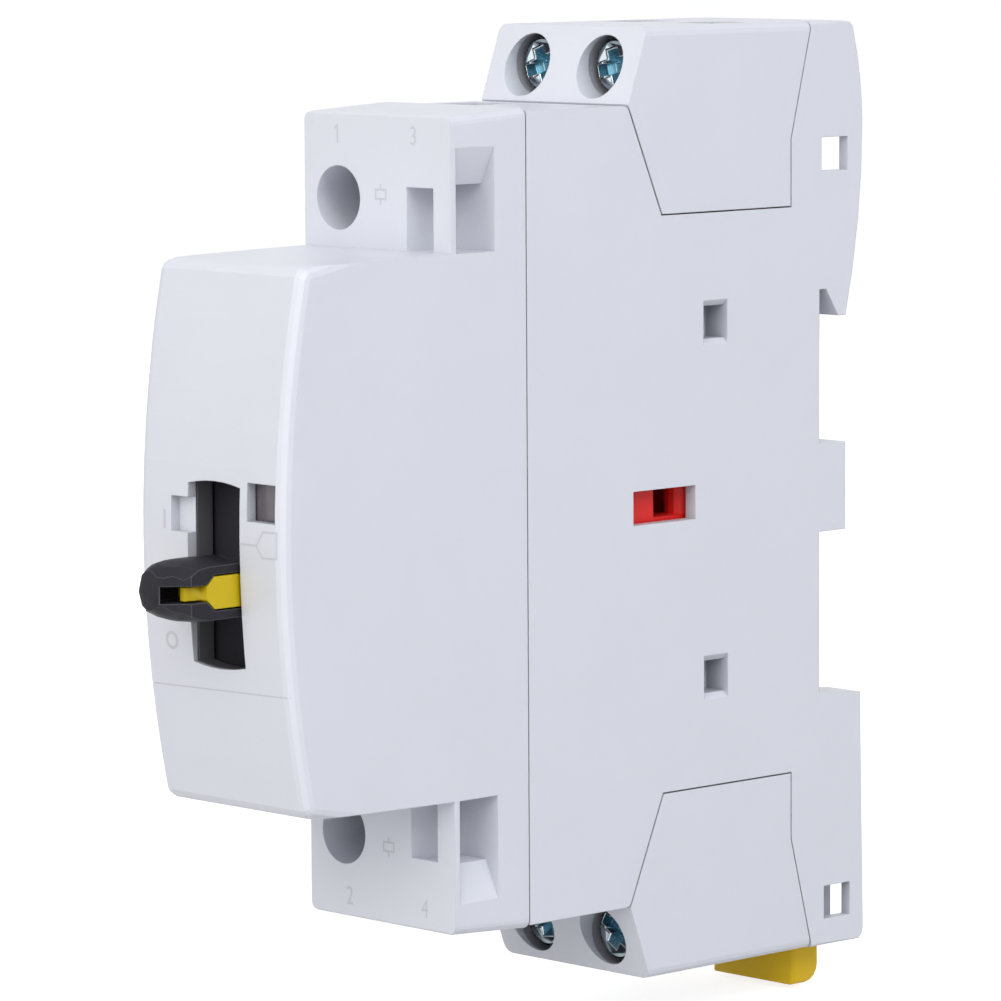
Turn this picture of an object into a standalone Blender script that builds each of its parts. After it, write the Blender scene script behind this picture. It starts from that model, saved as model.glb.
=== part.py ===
"""One-module, two-pole contactor for a 35 mm top-hat rail, with a hand selector on its nose.

The part stands as it hangs on an upright rail: +Z is up, the nose points along -Y, X runs
across the module, and the rail's front face lies in the plane Y = 0. Sizes are in metres.
"""
import math

import bmesh
import bpy
from mathutils import Vector

# Casing
MODULE_WIDTH = 0.0178
SIDE_WALL = 0.0012
FIT_GAP = 0.0003
SEAM_GAP = 0.00012
BASE_DEPTH = 0.0350
BASE_HEIGHT = 0.0677
OVERALL_HEIGHT = 0.0808
SHOULDER_DEPTH = 0.0085
SHOULDER_HEIGHT = 0.0683
SHOULDER_DRAFT = 0.00045
SHOULDER_CORNER = 0.00025
SIDE_ROUND = 0.0008
NOSE_DEPTH = 0.0185
NOSE_HEIGHT = 0.0450
NOSE_DRAFT = 0.00025
NOSE_BULGE_RADIUS = 0.100
NOSE_CORNER = 0.0013
NOSE_EDGE = 0.0009
NOSE_WALL = 0.0014
NOSE_FRONT_WALL = 0.0037
NOSE_STEPS = 7
RIB = 0.0012

# Rail notch and the rear of the base
RAIL_WIDTH = 0.0350
RAIL_LIP = 0.0010
RAIL_PLAY = 0.00022
REAR_WALL = 0.0015
HOOK_REACH = 0.0024
HOOK_MOUTH = 0.0024
HOOK_POCKET = 0.00085
HOOK_BACK = 0.0054
HOOK_CREST_Z = 0.0315
HOOK_SWEEP = 0.0021
HOOK_TOP_SWEEP = 0.0011
HOOK_STEPS = 4
HOOK_ROOT = 0.0016
CENTRE_BLOCK = 0.0077
CENTRE_BLOCK_DEPTH = 0.0033
FOOT_BACK = 0.0056
FOOT_DRAFT = 0.0004
CORE_SETBACK = 0.0003
REAR_CORNER = 0.0010
PLATE_WALL = 0.0010
FLOOR_WALL = 0.0012
SIGHT_HOLE_LENGTH = 0.0033
SIGHT_HOLE_HEIGHT = 0.0029
SIGHT_HOLE_UPPER_Z = 0.02895
SIGHT_HOLE_LOWER_Z = -0.03655
SIGHT_HOLE_UPPER_Y = 0.0019
SIGHT_HOLE_LOWER_Y = 0.00225

# Side features for an add-on block
AUX_WINDOW_FRONT = 0.01225
AUX_WINDOW_LENGTH = 0.00745
AUX_WINDOW_HEIGHT = 0.0029
AUX_POCKET_Y = -0.01285
AUX_POCKET_Z = 0.0152
AUX_POCKET_LENGTH = 0.0029
AUX_POCKET_HEIGHT = 0.0038
AUX_POCKET_DEPTH = 0.0026
AUX_POCKET_CHAMFER = 0.0005
AUX_PAD = 0.0006

# Terminal caps and power terminals
CAP_FRONT = 0.0118
CAP_CHAMFER = 0.0023
CAP_INNER_Z = 0.02465
CAP_SLOPE = 0.0040
CAP_REAR_Y = -0.0036
CAP_KINK_Z = 0.0304
CAP_REAR_FLARE = 0.0026
CAP_WALL = 0.0010
SEAM_ROUND = 0.0004
POLE_INSET = 0.0045
TERMINAL_Z = 0.0370
WELL_DIAMETER = 0.0053
WELL_DEPTH = 0.0013
HEAD_ROOM_DIAMETER = 0.0059
SCREW_DEPTH = 0.0018
SCREW_HEAD_DIAMETER = 0.0048
SCREW_HEAD = 0.0021
SCREW_SHANK_DIAMETER = 0.0034
SCREW_SEAT = 0.0012
DRIVE_WIDTH = 0.0008
DRIVE_DEPTH = 0.0009
CHAMBER_WIDTH = 0.0072
CAGE_WIDTH = 0.0065
CAGE_LENGTH = 0.0044
CAGE_WALL = 0.0010
CAGE_TRAVEL = 0.0030
WIRE_SPACE = 0.0046
BAR_WIDTH = 0.0042
BAR = 0.0012
BAR_JOG = 0.0042
JOG_Z = 0.0206
CONTACT_Z = 0.0080
TIP_DIAMETER = 0.0030
TIP = 0.0008

# Coil terminals
COIL_INSET = 0.00415
COIL_TERMINAL_Z = 0.0266
COIL_HOLE_DIAMETER = 0.00535
COIL_HEAD_DIAMETER = 0.0044
COIL_HEAD = 0.0014
COIL_SHANK_DIAMETER = 0.0026
COIL_SEAT = 0.0014
COIL_CHAMBER_WIDTH = 0.0055
COIL_CAGE_WIDTH = 0.0049
COIL_CAGE_LENGTH = 0.0040
COIL_CAGE_WALL = 0.0008
COIL_CAGE_TRAVEL = 0.0026
COIL_WIRE_SPACE = 0.0045
COIL_STRIP_WIDTH = 0.0030
COIL_STRIP = 0.0008

# Snap windows in the shoulders
SNAP_INSET = 0.0053
SNAP_SLOT_WIDTH = 0.0032
SNAP_SLOT_HEIGHT = 0.00525
SNAP_FRONT_WALL = 0.00055
SNAP_LENGTH = 0.0043
SNAP_CAVITY_HEIGHT = 0.0055
SNAP_RAMP_HEIGHT = 0.0031
SNAP_RAMP_DEPTH = 0.0015

# Selector on the nose
SLOT_INSET = 0.00523
SLOT_WIDTH = 0.0064
SLOT_TOP = 0.0048
SLOT_HEIGHT = 0.0153
SLOT_CROWN = 0.00035
SLOT_STEPS = 6
SLOT_LIP = 0.00095
LINER_WALL = 0.0004
SHUTTER_SETBACK = 0.0030
SHUTTER = 0.0012
SHUTTER_SIDE = 0.0014
SELECTOR_UP = 0.0056
SELECTOR_DOWN = 0.0042
LEVER_Z = -0.00378
LEVER_HEIGHT = 0.00435
LEVER_REACH = 0.0072
LEVER_TIP_WALL = 0.0006
LOCK_HEIGHT = 0.00263
LOCK_TONGUE_HEIGHT = 0.0011
LOCK_REACH = 0.0024
LOCK_TAPER = 0.0008
LOCK_TONGUE = 0.0019
LOCK_TONGUE_INSET = 0.0007
LOCK_SUNK = 0.0007
LOCK_TRAVEL = 0.0020
LOCK_PLAY = 0.00015
LOCK_NOTCH_WIDTH = 0.00205
LOCK_NOTCH_HEIGHT = 0.0029
LOCK_NOTCH_DEPTH = 0.0009
DETENT_STRIP = 0.0003
DETENT_WIDTH = 0.0009
DETENT_DEPTH = 0.0007
DETENT_SPAN = 0.0120

# Sections of the lever: shares of its reach and its half width, then of its half height at the
# upper edge, the upper middle, the lower edge and the lower middle
LEVER_SECTIONS = (
    (1.0, 0.276, 0.15, 0.15, -0.08, -0.08),
    (0.944, 0.31, 0.69, 0.90, 0.44, 0.60),
    (0.889, 0.45, 0.65, 1.03, 0.43, 0.69),
    (0.806, 0.62, 0.71, 1.13, 0.62, 0.83),
    (0.708, 0.776, 0.55, 1.15, 0.69, 0.97),
    (0.667, 0.98, 0.69, 1.17, 0.80, 1.01),
    (0.556, 1.0, 0.90, 1.18, 0.94, 1.10),
    (0.417, 1.0, 0.98, 1.18, 1.01, 1.15),
    (0.139, 1.0, 0.99, 1.18, 1.01, 1.15),
    (0.069, 1.0, 1.0, 1.0, 1.0, 1.0),
)

# Indicator beside the selector
LENS_INSET = 0.00265
LENS_Z = 0.0034
LENS_WIDTH = 0.0034
LENS_HEIGHT = 0.0031
LENS_DEPTH = 0.0010
LENS = 0.0010
LENS_LEDGE = 0.0002
FLAG_WIDTH = 0.0020
FLAG_HEIGHT = 0.0024
FLAG = 0.0010
FLAG_ARM = 0.0008
FLAG_ARM_HEIGHT = 0.0018

# Magnet, coil and moving carrier
STROKE = 0.0024
CLOSED_GAP = 0.0001
CORE_HEIGHT = 0.0244
CORE_STACK = 0.0052
YOKE_BACK = 0.0040
CENTRE_POLE = 0.0090
OUTER_POLE = 0.0032
YOKE_LENGTH = 0.0259
ARMATURE = 0.0037
BOBBIN_WALL = 0.0006
BOBBIN_FLANGE = 0.0007
WINDING_CORNER = 0.0012
CARRIER_PLATE = 0.0018
CARRIER_SETBACK = 0.00065
CARRIER_WEB = 0.0018
CARRIER_HEIGHT = 0.0090
CARRIER_LEDGE = 0.0014
CARRIER_LEDGE_HEIGHT = 0.0060
CARRIER_LUG = 0.0012
COUPLING_FACE = 0.00385
COUPLING_GAP = 0.0032
COUPLING_ROUND = 0.0028
COUPLING_HEIGHT = 0.0048
COUPLING_FLOOR = 0.0014
BRIDGE = 0.0010
BRIDGE_WIDTH = 0.0040
BRIDGE_LENGTH = 0.0200

# Springs: outside diameter, wire diameter and curls
RETURN_SPRING_DIAMETER = 0.0034
RETURN_SPRING_WIRE = 0.0004
RETURN_SPRING_CURLS = 8
RETURN_SPRING_Z = 0.0158
CONTACT_SPRING_DIAMETER = 0.0032
CONTACT_SPRING_WIRE = 0.0004
CONTACT_SPRING_CURLS = 4
CLIP_SPRING_DIAMETER = 0.0026
CLIP_SPRING_WIRE = 0.0004
CLIP_SPRING_CURLS = 6
CURL_POINTS = 8

# Rail clip
CLIP_WIDTH = 0.0092
CLIP_PLATE = 0.0023
CLIP_TRAVEL = 0.0030
CLIP_RELEASE = 0.0007
CLIP_TAB_DROP = 0.0041
CLIP_TAB_THICKNESS = 0.0033
CLIP_TAB_LEAD = 0.0005
CLIP_NOSE = 0.0006
CLIP_LEAD_IN = 0.0022
CLIP_TAB_WIDTH = 0.0100
CLIP_TAB_ROUND = 0.0016
CLIP_WINDOW_WIDTH = 0.0050
CLIP_WINDOW_TOP = -0.0235
CLIP_POST_Z = -0.0341
CLIP_POST = 0.0014
CLIP_POST_WIDTH = 0.0036
CLIP_GUIDE = 0.0011
CLIP_LIP = 0.0011
CLIP_LIP_THICKNESS = 0.0006

ROUND_SIDES = 20
HOLE_SIDES = 36
OVERCUT = 0.0020

# Planes and half sizes that follow from the sizes above
HALF_WIDTH = MODULE_WIDTH / 2
INNER_HALF = HALF_WIDTH - SIDE_WALL
POLE_X = HALF_WIDTH - POLE_INSET
COIL_TERMINAL_X = COIL_INSET - HALF_WIDTH
SNAP_SLOT_X = HALF_WIDTH - SNAP_INSET
LENS_X = HALF_WIDTH - LENS_INSET
SELECTOR_X = HALF_WIDTH - SLOT_INSET - SLOT_WIDTH / 2
FLAG_RIGHT_X = INNER_HALF - FIT_GAP
FLAG_LEFT_X = FLAG_RIGHT_X - FLAG_ARM
CARRIER_HALF = FLAG_LEFT_X - FIT_GAP
BOBBIN_HALF = FLAG_LEFT_X - 2 * FIT_GAP
TOP_Z = OVERALL_HEIGHT / 2
SEAM_Y = -BASE_DEPTH
SHOULDER_Y = SEAM_Y - SHOULDER_DEPTH
NOSE_Y = SHOULDER_Y - NOSE_DEPTH
NOSE_END_Z = NOSE_HEIGHT / 2 - NOSE_DRAFT
NOSE_INNER_Z = NOSE_END_Z - NOSE_WALL
NOSE_INNER_Y = NOSE_Y + NOSE_FRONT_WALL
NOTCH_TOP_Z = RAIL_WIDTH / 2 - RAIL_PLAY
NOTCH_BOTTOM_Z = -RAIL_WIDTH / 2 - 2 * RAIL_PLAY
CAVITY_Z = CAP_INNER_Z - SEAM_GAP - SCREW_SEAT
CAP_FRONT_Y = SEAM_Y + CAP_FRONT
CAP_FRONT_Z = BASE_HEIGHT / 2 + SEAM_GAP
CAP_TOP_Y = CAP_FRONT_Y + CAP_CHAMFER

CAP_FACE_Y = CAP_FRONT_Y + CAP_CHAMFER * (TERMINAL_Z - CAP_FRONT_Z) / (TOP_Z - CAP_FRONT_Z)
SCREW_FRONT_Y = CAP_FACE_Y + SCREW_DEPTH
SCREW_SEAT_Y = SCREW_FRONT_Y + SCREW_HEAD + FIT_GAP
CHAMBER_FRONT_Y = SCREW_SEAT_Y + SCREW_SEAT
CAGE_FRONT_Y = CHAMBER_FRONT_Y + FIT_GAP + CAGE_TRAVEL
BAR_Y = CAGE_FRONT_Y + CAGE_WALL + FIT_GAP
CAGE_DEPTH = CAGE_WALL + FIT_GAP + BAR + WIRE_SPACE + CAGE_WALL
CHAMBER_REAR_Y = CAGE_FRONT_Y + CAGE_DEPTH + FIT_GAP
CHAMBER_TOP_Z = TOP_Z - CAP_WALL

COIL_SEAT_Y = SEAM_Y - SEAM_GAP - COIL_SEAT
COIL_SCREW_Y = COIL_SEAT_Y - FIT_GAP - COIL_HEAD
COIL_CAGE_FRONT_Y = SEAM_Y + FIT_GAP + COIL_CAGE_TRAVEL
COIL_STRIP_Y = COIL_CAGE_FRONT_Y + COIL_CAGE_WALL + FIT_GAP
COIL_CAGE_DEPTH = COIL_CAGE_WALL + FIT_GAP + COIL_STRIP + COIL_WIRE_SPACE + COIL_CAGE_WALL
COIL_CHAMBER_REAR_Y = COIL_CAGE_FRONT_Y + COIL_CAGE_DEPTH + FIT_GAP
COIL_CHAMBER_TOP_Z = BASE_HEIGHT / 2 - SIDE_WALL

SLOT_BOTTOM = SLOT_TOP - SLOT_HEIGHT
SHUTTER_Y = NOSE_Y + SHUTTER_SETBACK
SHUTTER_HALF = SLOT_WIDTH / 2 + SHUTTER_SIDE
SHUTTER_TOP = SLOT_TOP + SELECTOR_DOWN + FIT_GAP
SHUTTER_BOTTOM = SLOT_BOTTOM - SELECTOR_UP - FIT_GAP
LEVER_HALF = SLOT_WIDTH / 2 - FIT_GAP
DETENT_X = SELECTOR_X - SHUTTER_HALF - 2 * FIT_GAP

CARRIER_REAR_Y = -REAR_WALL - FIT_GAP
COUPLING_Y = SEAM_Y + AUX_WINDOW_FRONT
CARRIER_PLATE_Y = COUPLING_Y + CARRIER_SETBACK
ARMATURE_Y = CARRIER_PLATE_Y - FIT_GAP - ARMATURE
POLE_FACE_Y = ARMATURE_Y - STROKE - CLOSED_GAP
YOKE_Y = POLE_FACE_Y - YOKE_LENGTH
CONTACT_FACE_Y = BAR_Y - BAR_JOG + BAR + TIP
BRIDGE_Y = CONTACT_FACE_Y + CLOSED_GAP + STROKE + TIP
LEDGE_Y = BRIDGE_Y - FIT_GAP - CARRIER_LEDGE
CLIP_Y = RAIL_LIP + FIT_GAP
CLIP_TIP_Z = -RAIL_WIDTH / 2 + CLIP_TRAVEL - CLIP_RELEASE
CLIP_CHANNEL_HALF = CLIP_WIDTH / 2 + FIT_GAP
STEP_FLOOR_Z = NOTCH_BOTTOM_Z - FLOOR_WALL
FOOT_FLOOR_Z = -TOP_Z + FLOOR_WALL


def clear_scene():
    """Empty the scene that the script runs in."""
    for existing in list(bpy.data.objects):
        bpy.data.objects.remove(existing)


def finish(name, colour, roughness, metallic=0.0):
    """Make a plain Principled material."""
    material = bpy.data.materials.new(name)
    material.use_nodes = True
    shader = material.node_tree.nodes["Principled BSDF"]
    shader.inputs["Base Color"].default_value = (*colour, 1.0)
    shader.inputs["Roughness"].default_value = roughness
    shader.inputs["Metallic"].default_value = metallic
    return material


def arc(centre, radius, start, end, steps):
    """Points on a circle from one angle to another, in degrees, both ends included."""
    angles = [math.radians(start + (end - start) * step / steps) for step in range(steps + 1)]
    return [(centre[0] + radius * math.cos(t), centre[1] + radius * math.sin(t)) for t in angles]


def circle(centre, radius, sides=ROUND_SIDES):
    """A closed round outline, without its repeated last point."""
    return arc(centre, radius, 0, 360, sides)[:-1]


def rectangle(low_a, high_a, low_b, high_b):
    """A closed rectangular outline."""
    return [(low_a, low_b), (high_a, low_b), (high_a, high_b), (low_a, high_b)]


def rounded(low_a, high_a, low_b, high_b, radius, steps=3):
    """A rectangular outline with round corners."""
    centres = [(high_a - radius, high_b - radius), (low_a + radius, high_b - radius)]
    centres += [(low_a + radius, low_b + radius), (high_a - radius, low_b + radius)]
    points = []
    for quarter, centre in enumerate(centres):
        points += arc(centre, radius, 90 * quarter, 90 * quarter + 90, steps)
    return points


def mirrored(points):
    """The same outline points below the middle plane, in reverse order."""
    return [(a, -b) for a, b in reversed(points)]


def solid(name, rings, skewed=False):
    """A solid through closed rings of points; skewed sides are split into triangles."""
    shape = bmesh.new()
    loops = [[shape.verts.new(point) for point in ring] for ring in rings]
    sides = []
    for near, far in zip(loops, loops[1:]):
        for index in range(len(near)):
            following = (index + 1) % len(near)
            sides.append(shape.faces.new((near[index], far[index], far[following], near[following])))
    if skewed:
        bmesh.ops.triangulate(shape, faces=sides)
    shape.faces.new(loops[0])
    shape.faces.new(loops[-1])
    bmesh.ops.recalc_face_normals(shape, faces=shape.faces)
    mesh = bpy.data.meshes.new(name)
    shape.to_mesh(mesh)
    shape.free()
    body = bpy.data.objects.new(name, mesh)
    bpy.context.collection.objects.link(body)
    return body


def prism(name, outline, start, end, axis="X"):
    """Extrude a closed outline along an axis; its pairs are (y, z), (x, z) or (x, y)."""
    order = {"X": (2, 0, 1), "Y": (0, 2, 1), "Z": (0, 1, 2)}[axis]
    rings = []
    for level in (start, end):
        triples = [(a, b, level) for a, b in outline]
        rings.append([[triple[place] for place in order] for triple in triples])
    return solid(name, rings)


def box(low, high, name="tool"):
    """A box between two corners."""
    return prism(name, rectangle(low[1], high[1], low[2], high[2]), low[0], high[0])


def rod(axis, centre, diameter, start, end, name="tool", sides=ROUND_SIDES):
    """A round bar along an axis."""
    return prism(name, circle(centre, diameter / 2, sides), start, end, axis)


def combine(body, tools, operation):
    """Join, cut or intersect a body with other solids, which are used up."""
    for tool in tools:
        step = body.modifiers.new("combine", "BOOLEAN")
        step.operation = operation
        step.solver = "EXACT"
        step.object = tool
    evaluated = body.evaluated_get(bpy.context.evaluated_depsgraph_get())
    mesh = bpy.data.meshes.new_from_object(evaluated)
    body.modifiers.clear()
    body.data = mesh
    for tool in tools:
        bpy.data.objects.remove(tool)


def cut(body, *tools):
    """Take solids out of a body."""
    combine(body, tools, "DIFFERENCE")


def fuse(body, *tools):
    """Add solids to a body."""
    combine(body, tools, "UNION")


def round_edges(body, chosen, radius, segments):
    """Round the edges of a body that a test on their two ends picks."""
    shape = bmesh.new()
    shape.from_mesh(body.data)
    edges = [edge for edge in shape.edges if chosen(*[vert.co for vert in edge.verts])]
    bmesh.ops.bevel(shape, geom=edges, offset=radius, segments=segments, profile=0.5, affect="EDGES")
    shape.to_mesh(body.data)
    shape.free()


def place_origin(body, point):
    """Put the body's origin on its joint's axis without moving its surface."""
    shape = bmesh.new()
    shape.from_mesh(body.data)
    bmesh.ops.translate(shape, verts=shape.verts, vec=-Vector(point))
    shape.to_mesh(body.data)
    shape.free()
    body.location = point


def dress(body, name, material):
    """Give a finished solid its name, its material and smooth round faces."""
    body.name = name
    body.data.name = name
    body.data.materials.clear()
    body.data.materials.append(material)
    body.data.shade_smooth()
    body.data.set_sharp_from_angle(angle=math.radians(35))
    return body


def spring(name, axis, centre, diameter, wire, curls, start, end, material):
    """A helical spring between two planes, as one unbroken tube with straight ends."""
    order = {"Y": (0, 2, 1), "Z": (0, 1, 2)}[axis]
    radius = (diameter - wire) / 2
    low = start + wire / 2
    pitch = (end - start - wire) / curls
    points = []
    for step in range(curls * CURL_POINTS + 1):
        turn = step / CURL_POINTS
        angle = 2 * math.pi * turn
        across = (centre[0] + radius * math.cos(angle), centre[1] + radius * math.sin(angle))
        triple = (*across, low + pitch * turn)
        points.append([triple[place] for place in order])
    print(name, "least gap between curls in mm:", round((pitch - wire) * 1000, 2))
    curve = bpy.data.curves.new(name, "CURVE")
    curve.dimensions = "3D"
    curve.bevel_depth = wire / 2
    curve.bevel_resolution = 1
    curve.use_fill_caps = True
    spline = curve.splines.new("POLY")
    spline.points.add(len(points) - 1)
    for target, point in zip(spline.points, points):
        target.co = (*point, 1.0)
    curve.materials.append(material)
    body = bpy.data.objects.new(name, curve)
    bpy.context.collection.objects.link(body)
    return body


def nose_front(z):
    """Depth of the bulged front at a height."""
    return NOSE_Y + NOSE_BULGE_RADIUS - math.sqrt(NOSE_BULGE_RADIUS ** 2 - z * z)


def nose_corner_centre():
    """Centre of the round between the nose's front and its top."""
    z = NOSE_END_Z - NOSE_CORNER
    return (nose_front(z) + NOSE_CORNER, z)


def cover_outline():
    """Side view of the nose and the shoulders."""
    corner = nose_corner_centre()
    shoulder = (SHOULDER_Y + SHOULDER_CORNER, SHOULDER_HEIGHT / 2 - SHOULDER_DRAFT - SHOULDER_CORNER)
    upper = [(SEAM_Y - SEAM_GAP, SHOULDER_HEIGHT / 2)]
    upper += arc(shoulder, SHOULDER_CORNER, 90, 180, 3)
    upper.append((SHOULDER_Y, NOSE_HEIGHT / 2))
    upper += arc(corner, NOSE_CORNER, 90, 180, 4)
    for step in range(1, NOSE_STEPS):
        z = corner[1] * (1 - step / NOSE_STEPS)
        upper.append((nose_front(z), z))
    return upper + [(NOSE_Y, 0.0)] + mirrored(upper)


def slot_outline(growth):
    """Front view of the selector slot with its arched ends, grown evenly on all sides."""
    half = SLOT_WIDTH / 2 + growth
    shares = [1 - 2 * step / SLOT_STEPS for step in range(SLOT_STEPS + 1)]
    top = [(SELECTOR_X + half * t, SLOT_TOP + growth - SLOT_CROWN * t * t) for t in shares]
    bottom = [(SELECTOR_X - half * t, SLOT_BOTTOM - growth + SLOT_CROWN * t * t) for t in shares]
    return top + bottom


def shoulder_cutters(side):
    """Coil screw hole and snap window of one shoulder."""
    centre = (COIL_TERMINAL_X, side * COIL_TERMINAL_Z)
    tools = [rod("Y", centre, COIL_HOLE_DIAMETER, SHOULDER_Y - OVERCUT, COIL_SEAT_Y, sides=HOLE_SIDES)]
    shank = COIL_SHANK_DIAMETER + 2 * FIT_GAP
    tools.append(rod("Y", centre, shank, COIL_SEAT_Y - OVERCUT, SEAM_Y + OVERCUT))
    inner = NOSE_HEIGHT / 2
    front = SHOULDER_Y + SNAP_FRONT_WALL
    slot_z = sorted((side * inner, side * (inner + SNAP_SLOT_HEIGHT)))
    slot_right = SNAP_SLOT_X + SNAP_SLOT_WIDTH
    slot_low = (SNAP_SLOT_X, SHOULDER_Y - OVERCUT, slot_z[0])
    tools.append(box(slot_low, (slot_right, front + OVERCUT, slot_z[1])))
    cavity_z = sorted((side * inner, side * (inner + SNAP_CAVITY_HEIGHT)))
    rear = front + SNAP_LENGTH
    cavity = box((SNAP_SLOT_X, front, cavity_z[0]), (HALF_WIDTH + OVERCUT, rear, cavity_z[1]))
    tools.append(cavity)
    root = inner + SNAP_CAVITY_HEIGHT
    slope = SNAP_RAMP_HEIGHT / SNAP_RAMP_DEPTH
    deep, outside = HALF_WIDTH - SNAP_RAMP_DEPTH, HALF_WIDTH + OVERCUT
    ramp = [(deep, side * (root - FIT_GAP)), (outside, side * (root - FIT_GAP))]
    ramp.append((outside, side * (root + SNAP_RAMP_HEIGHT + slope * OVERCUT)))
    ramp.append((deep, side * root))
    tools.append(prism("tool", ramp, front, rear, "Y"))
    return tools


def shoulder_rounds():
    """Cutters that round the shoulders' long outer edges along their draft."""
    slope = SHOULDER_DRAFT / (SHOULDER_DEPTH - SEAM_GAP - SHOULDER_CORNER)
    inner, outside = HALF_WIDTH - SIDE_ROUND, HALF_WIDTH + OVERCUT
    tools = []
    for side, end in ((1, 1), (1, -1), (-1, 1), (-1, -1)):
        rings = []
        for y in (SHOULDER_Y - OVERCUT, SEAM_Y + OVERCUT):
            top = SHOULDER_HEIGHT / 2 + slope * (y - SEAM_Y + SEAM_GAP)
            outline = arc((inner, top - SIDE_ROUND), SIDE_ROUND, 90, 0, 4)
            outline += [(outside, top - SIDE_ROUND), (outside, top + OVERCUT), (inner, top + OVERCUT)]
            rings.append([(side * x, y, end * z) for x, z in outline])
        tools.append(solid("tool", rings))
    return tools


def cover_ribs():
    """Cross ribs that seat the yoke and the return springs, and the rails behind the shutter."""
    wall = INNER_HALF + FIT_GAP
    ribs = []
    for side in (1, -1):
        seat_z = side * (CORE_HEIGHT / 2 - OUTER_POLE / 2)
        front = YOKE_Y - FIT_GAP - RIB
        ribs.append(box((-wall, front, seat_z - RIB / 2), (wall, front + RIB, seat_z + RIB / 2)))
        spring_z = side * RETURN_SPRING_Z
        reach = RETURN_SPRING_DIAMETER / 2
        rear = SHOULDER_Y + RIB
        ribs.append(box((-wall, SHOULDER_Y, spring_z - reach), (wall, rear, spring_z + reach)))
        edge = SELECTOR_X + side * (SHUTTER_HALF - 2 * RIB)
        rail_x = sorted((edge, side * wall))
        rail_y = SHUTTER_Y + SHUTTER + FIT_GAP
        low = (rail_x[0], rail_y, -NOSE_INNER_Z - FIT_GAP)
        ribs.append(box(low, (rail_x[1], rail_y + RIB, LENS_Z - LENS_HEIGHT - RIB)))
    return ribs


def front_cover(material):
    """Nose and shoulders, open at the seam."""
    body = prism("front_cover", cover_outline(), -HALF_WIDTH, HALF_WIDTH)
    limit = nose_corner_centre()[0] + FIT_GAP / 10
    side = HALF_WIDTH - FIT_GAP / 10

    def front_edge(first, second):
        same_side = first.x * second.x > 0 and min(abs(first.x), abs(second.x)) > side
        return same_side and max(first.y, second.y) < limit

    round_edges(body, front_edge, NOSE_EDGE, 3)
    cut(body, *shoulder_rounds())
    hollow = box((-INNER_HALF, NOSE_INNER_Y, -NOSE_INNER_Z), (INNER_HALF, SEAM_Y + OVERCUT, NOSE_INNER_Z))
    left = DETENT_X - DETENT_STRIP - FIT_GAP
    right = SELECTOR_X + SHUTTER_HALF + FIT_GAP
    pocket_low = (left, SHUTTER_Y - FIT_GAP, SHUTTER_BOTTOM - SELECTOR_DOWN - FIT_GAP)
    pocket_high = (right, NOSE_INNER_Y + OVERCUT, SHUTTER_TOP + SELECTOR_UP + FIT_GAP)
    cut(body, hollow, box(pocket_low, pocket_high))
    fuse(body, *cover_ribs())
    tools = shoulder_cutters(1) + shoulder_cutters(-1)
    tools.append(prism("tool", slot_outline(0.0), NOSE_Y - OVERCUT, NOSE_INNER_Y, "Y"))
    bore = slot_outline(LINER_WALL + SEAM_GAP)
    tools.append(prism("tool", bore, NOSE_Y + SLOT_LIP, SHUTTER_Y, "Y"))
    notch_right = SELECTOR_X - SLOT_WIDTH / 2
    notch_z = LEVER_Z + SELECTOR_UP
    notch_low = (notch_right - LOCK_NOTCH_WIDTH, NOSE_Y - OVERCUT, notch_z - LOCK_NOTCH_HEIGHT / 2)
    notch_high = (notch_right + OVERCUT, NOSE_Y + LOCK_NOTCH_DEPTH, notch_z + LOCK_NOTCH_HEIGHT / 2)
    tools.append(box(notch_low, notch_high))
    tools += lens_cutters()
    cut(body, *tools)
    return dress(body, "front_cover", material)


def lens_cutters():
    """Window for the indicator and the pocket that holds its pane."""
    half_x, half_z = LENS_WIDTH / 2, LENS_HEIGHT / 2
    window_low = (LENS_X - half_x, NOSE_Y - OVERCUT, LENS_Z - half_z)
    window_high = (LENS_X + half_x, NOSE_INNER_Y + OVERCUT, LENS_Z + half_z)
    grown = LENS_LEDGE + SEAM_GAP
    pocket_low = (LENS_X - half_x - grown, NOSE_Y + LENS_DEPTH, LENS_Z - half_z - grown)
    pocket_high = (LENS_X + half_x + grown, NOSE_INNER_Y + OVERCUT, LENS_Z + half_z + grown)
    return [box(window_low, window_high), box(pocket_low, pocket_high)]


def indicator_lens(material):
    """Smoked pane of the indicator window."""
    half_x, half_z = LENS_WIDTH / 2 + LENS_LEDGE, LENS_HEIGHT / 2 + LENS_LEDGE
    front = NOSE_Y + LENS_DEPTH + SEAM_GAP
    body = box((LENS_X - half_x, front, LENS_Z - half_z), (LENS_X + half_x, front + LENS, LENS_Z + half_z))
    return dress(body, "indicator_lens", material)


def end_edge(first, second):
    """Whether an edge runs along a side at the very top or bottom of the part."""
    level = TOP_Z - FIT_GAP / 10
    same_end = first.z * second.z > 0 and min(abs(first.z), abs(second.z)) > level
    return same_end and first.x == second.x


def cap_outline(side):
    """Side view of a terminal cap."""
    points = [(CAP_FRONT_Y, CAP_FRONT_Z), (CAP_TOP_Y, TOP_Z), (CAP_REAR_Y + CAP_REAR_FLARE, TOP_Z)]
    points += [(CAP_REAR_Y, CAP_KINK_Z), (CAP_REAR_Y, CAP_INNER_Z), (CAP_FRONT_Y + CAP_SLOPE, CAP_INNER_Z)]
    return [(y, side * z) for y, z in points]


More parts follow.
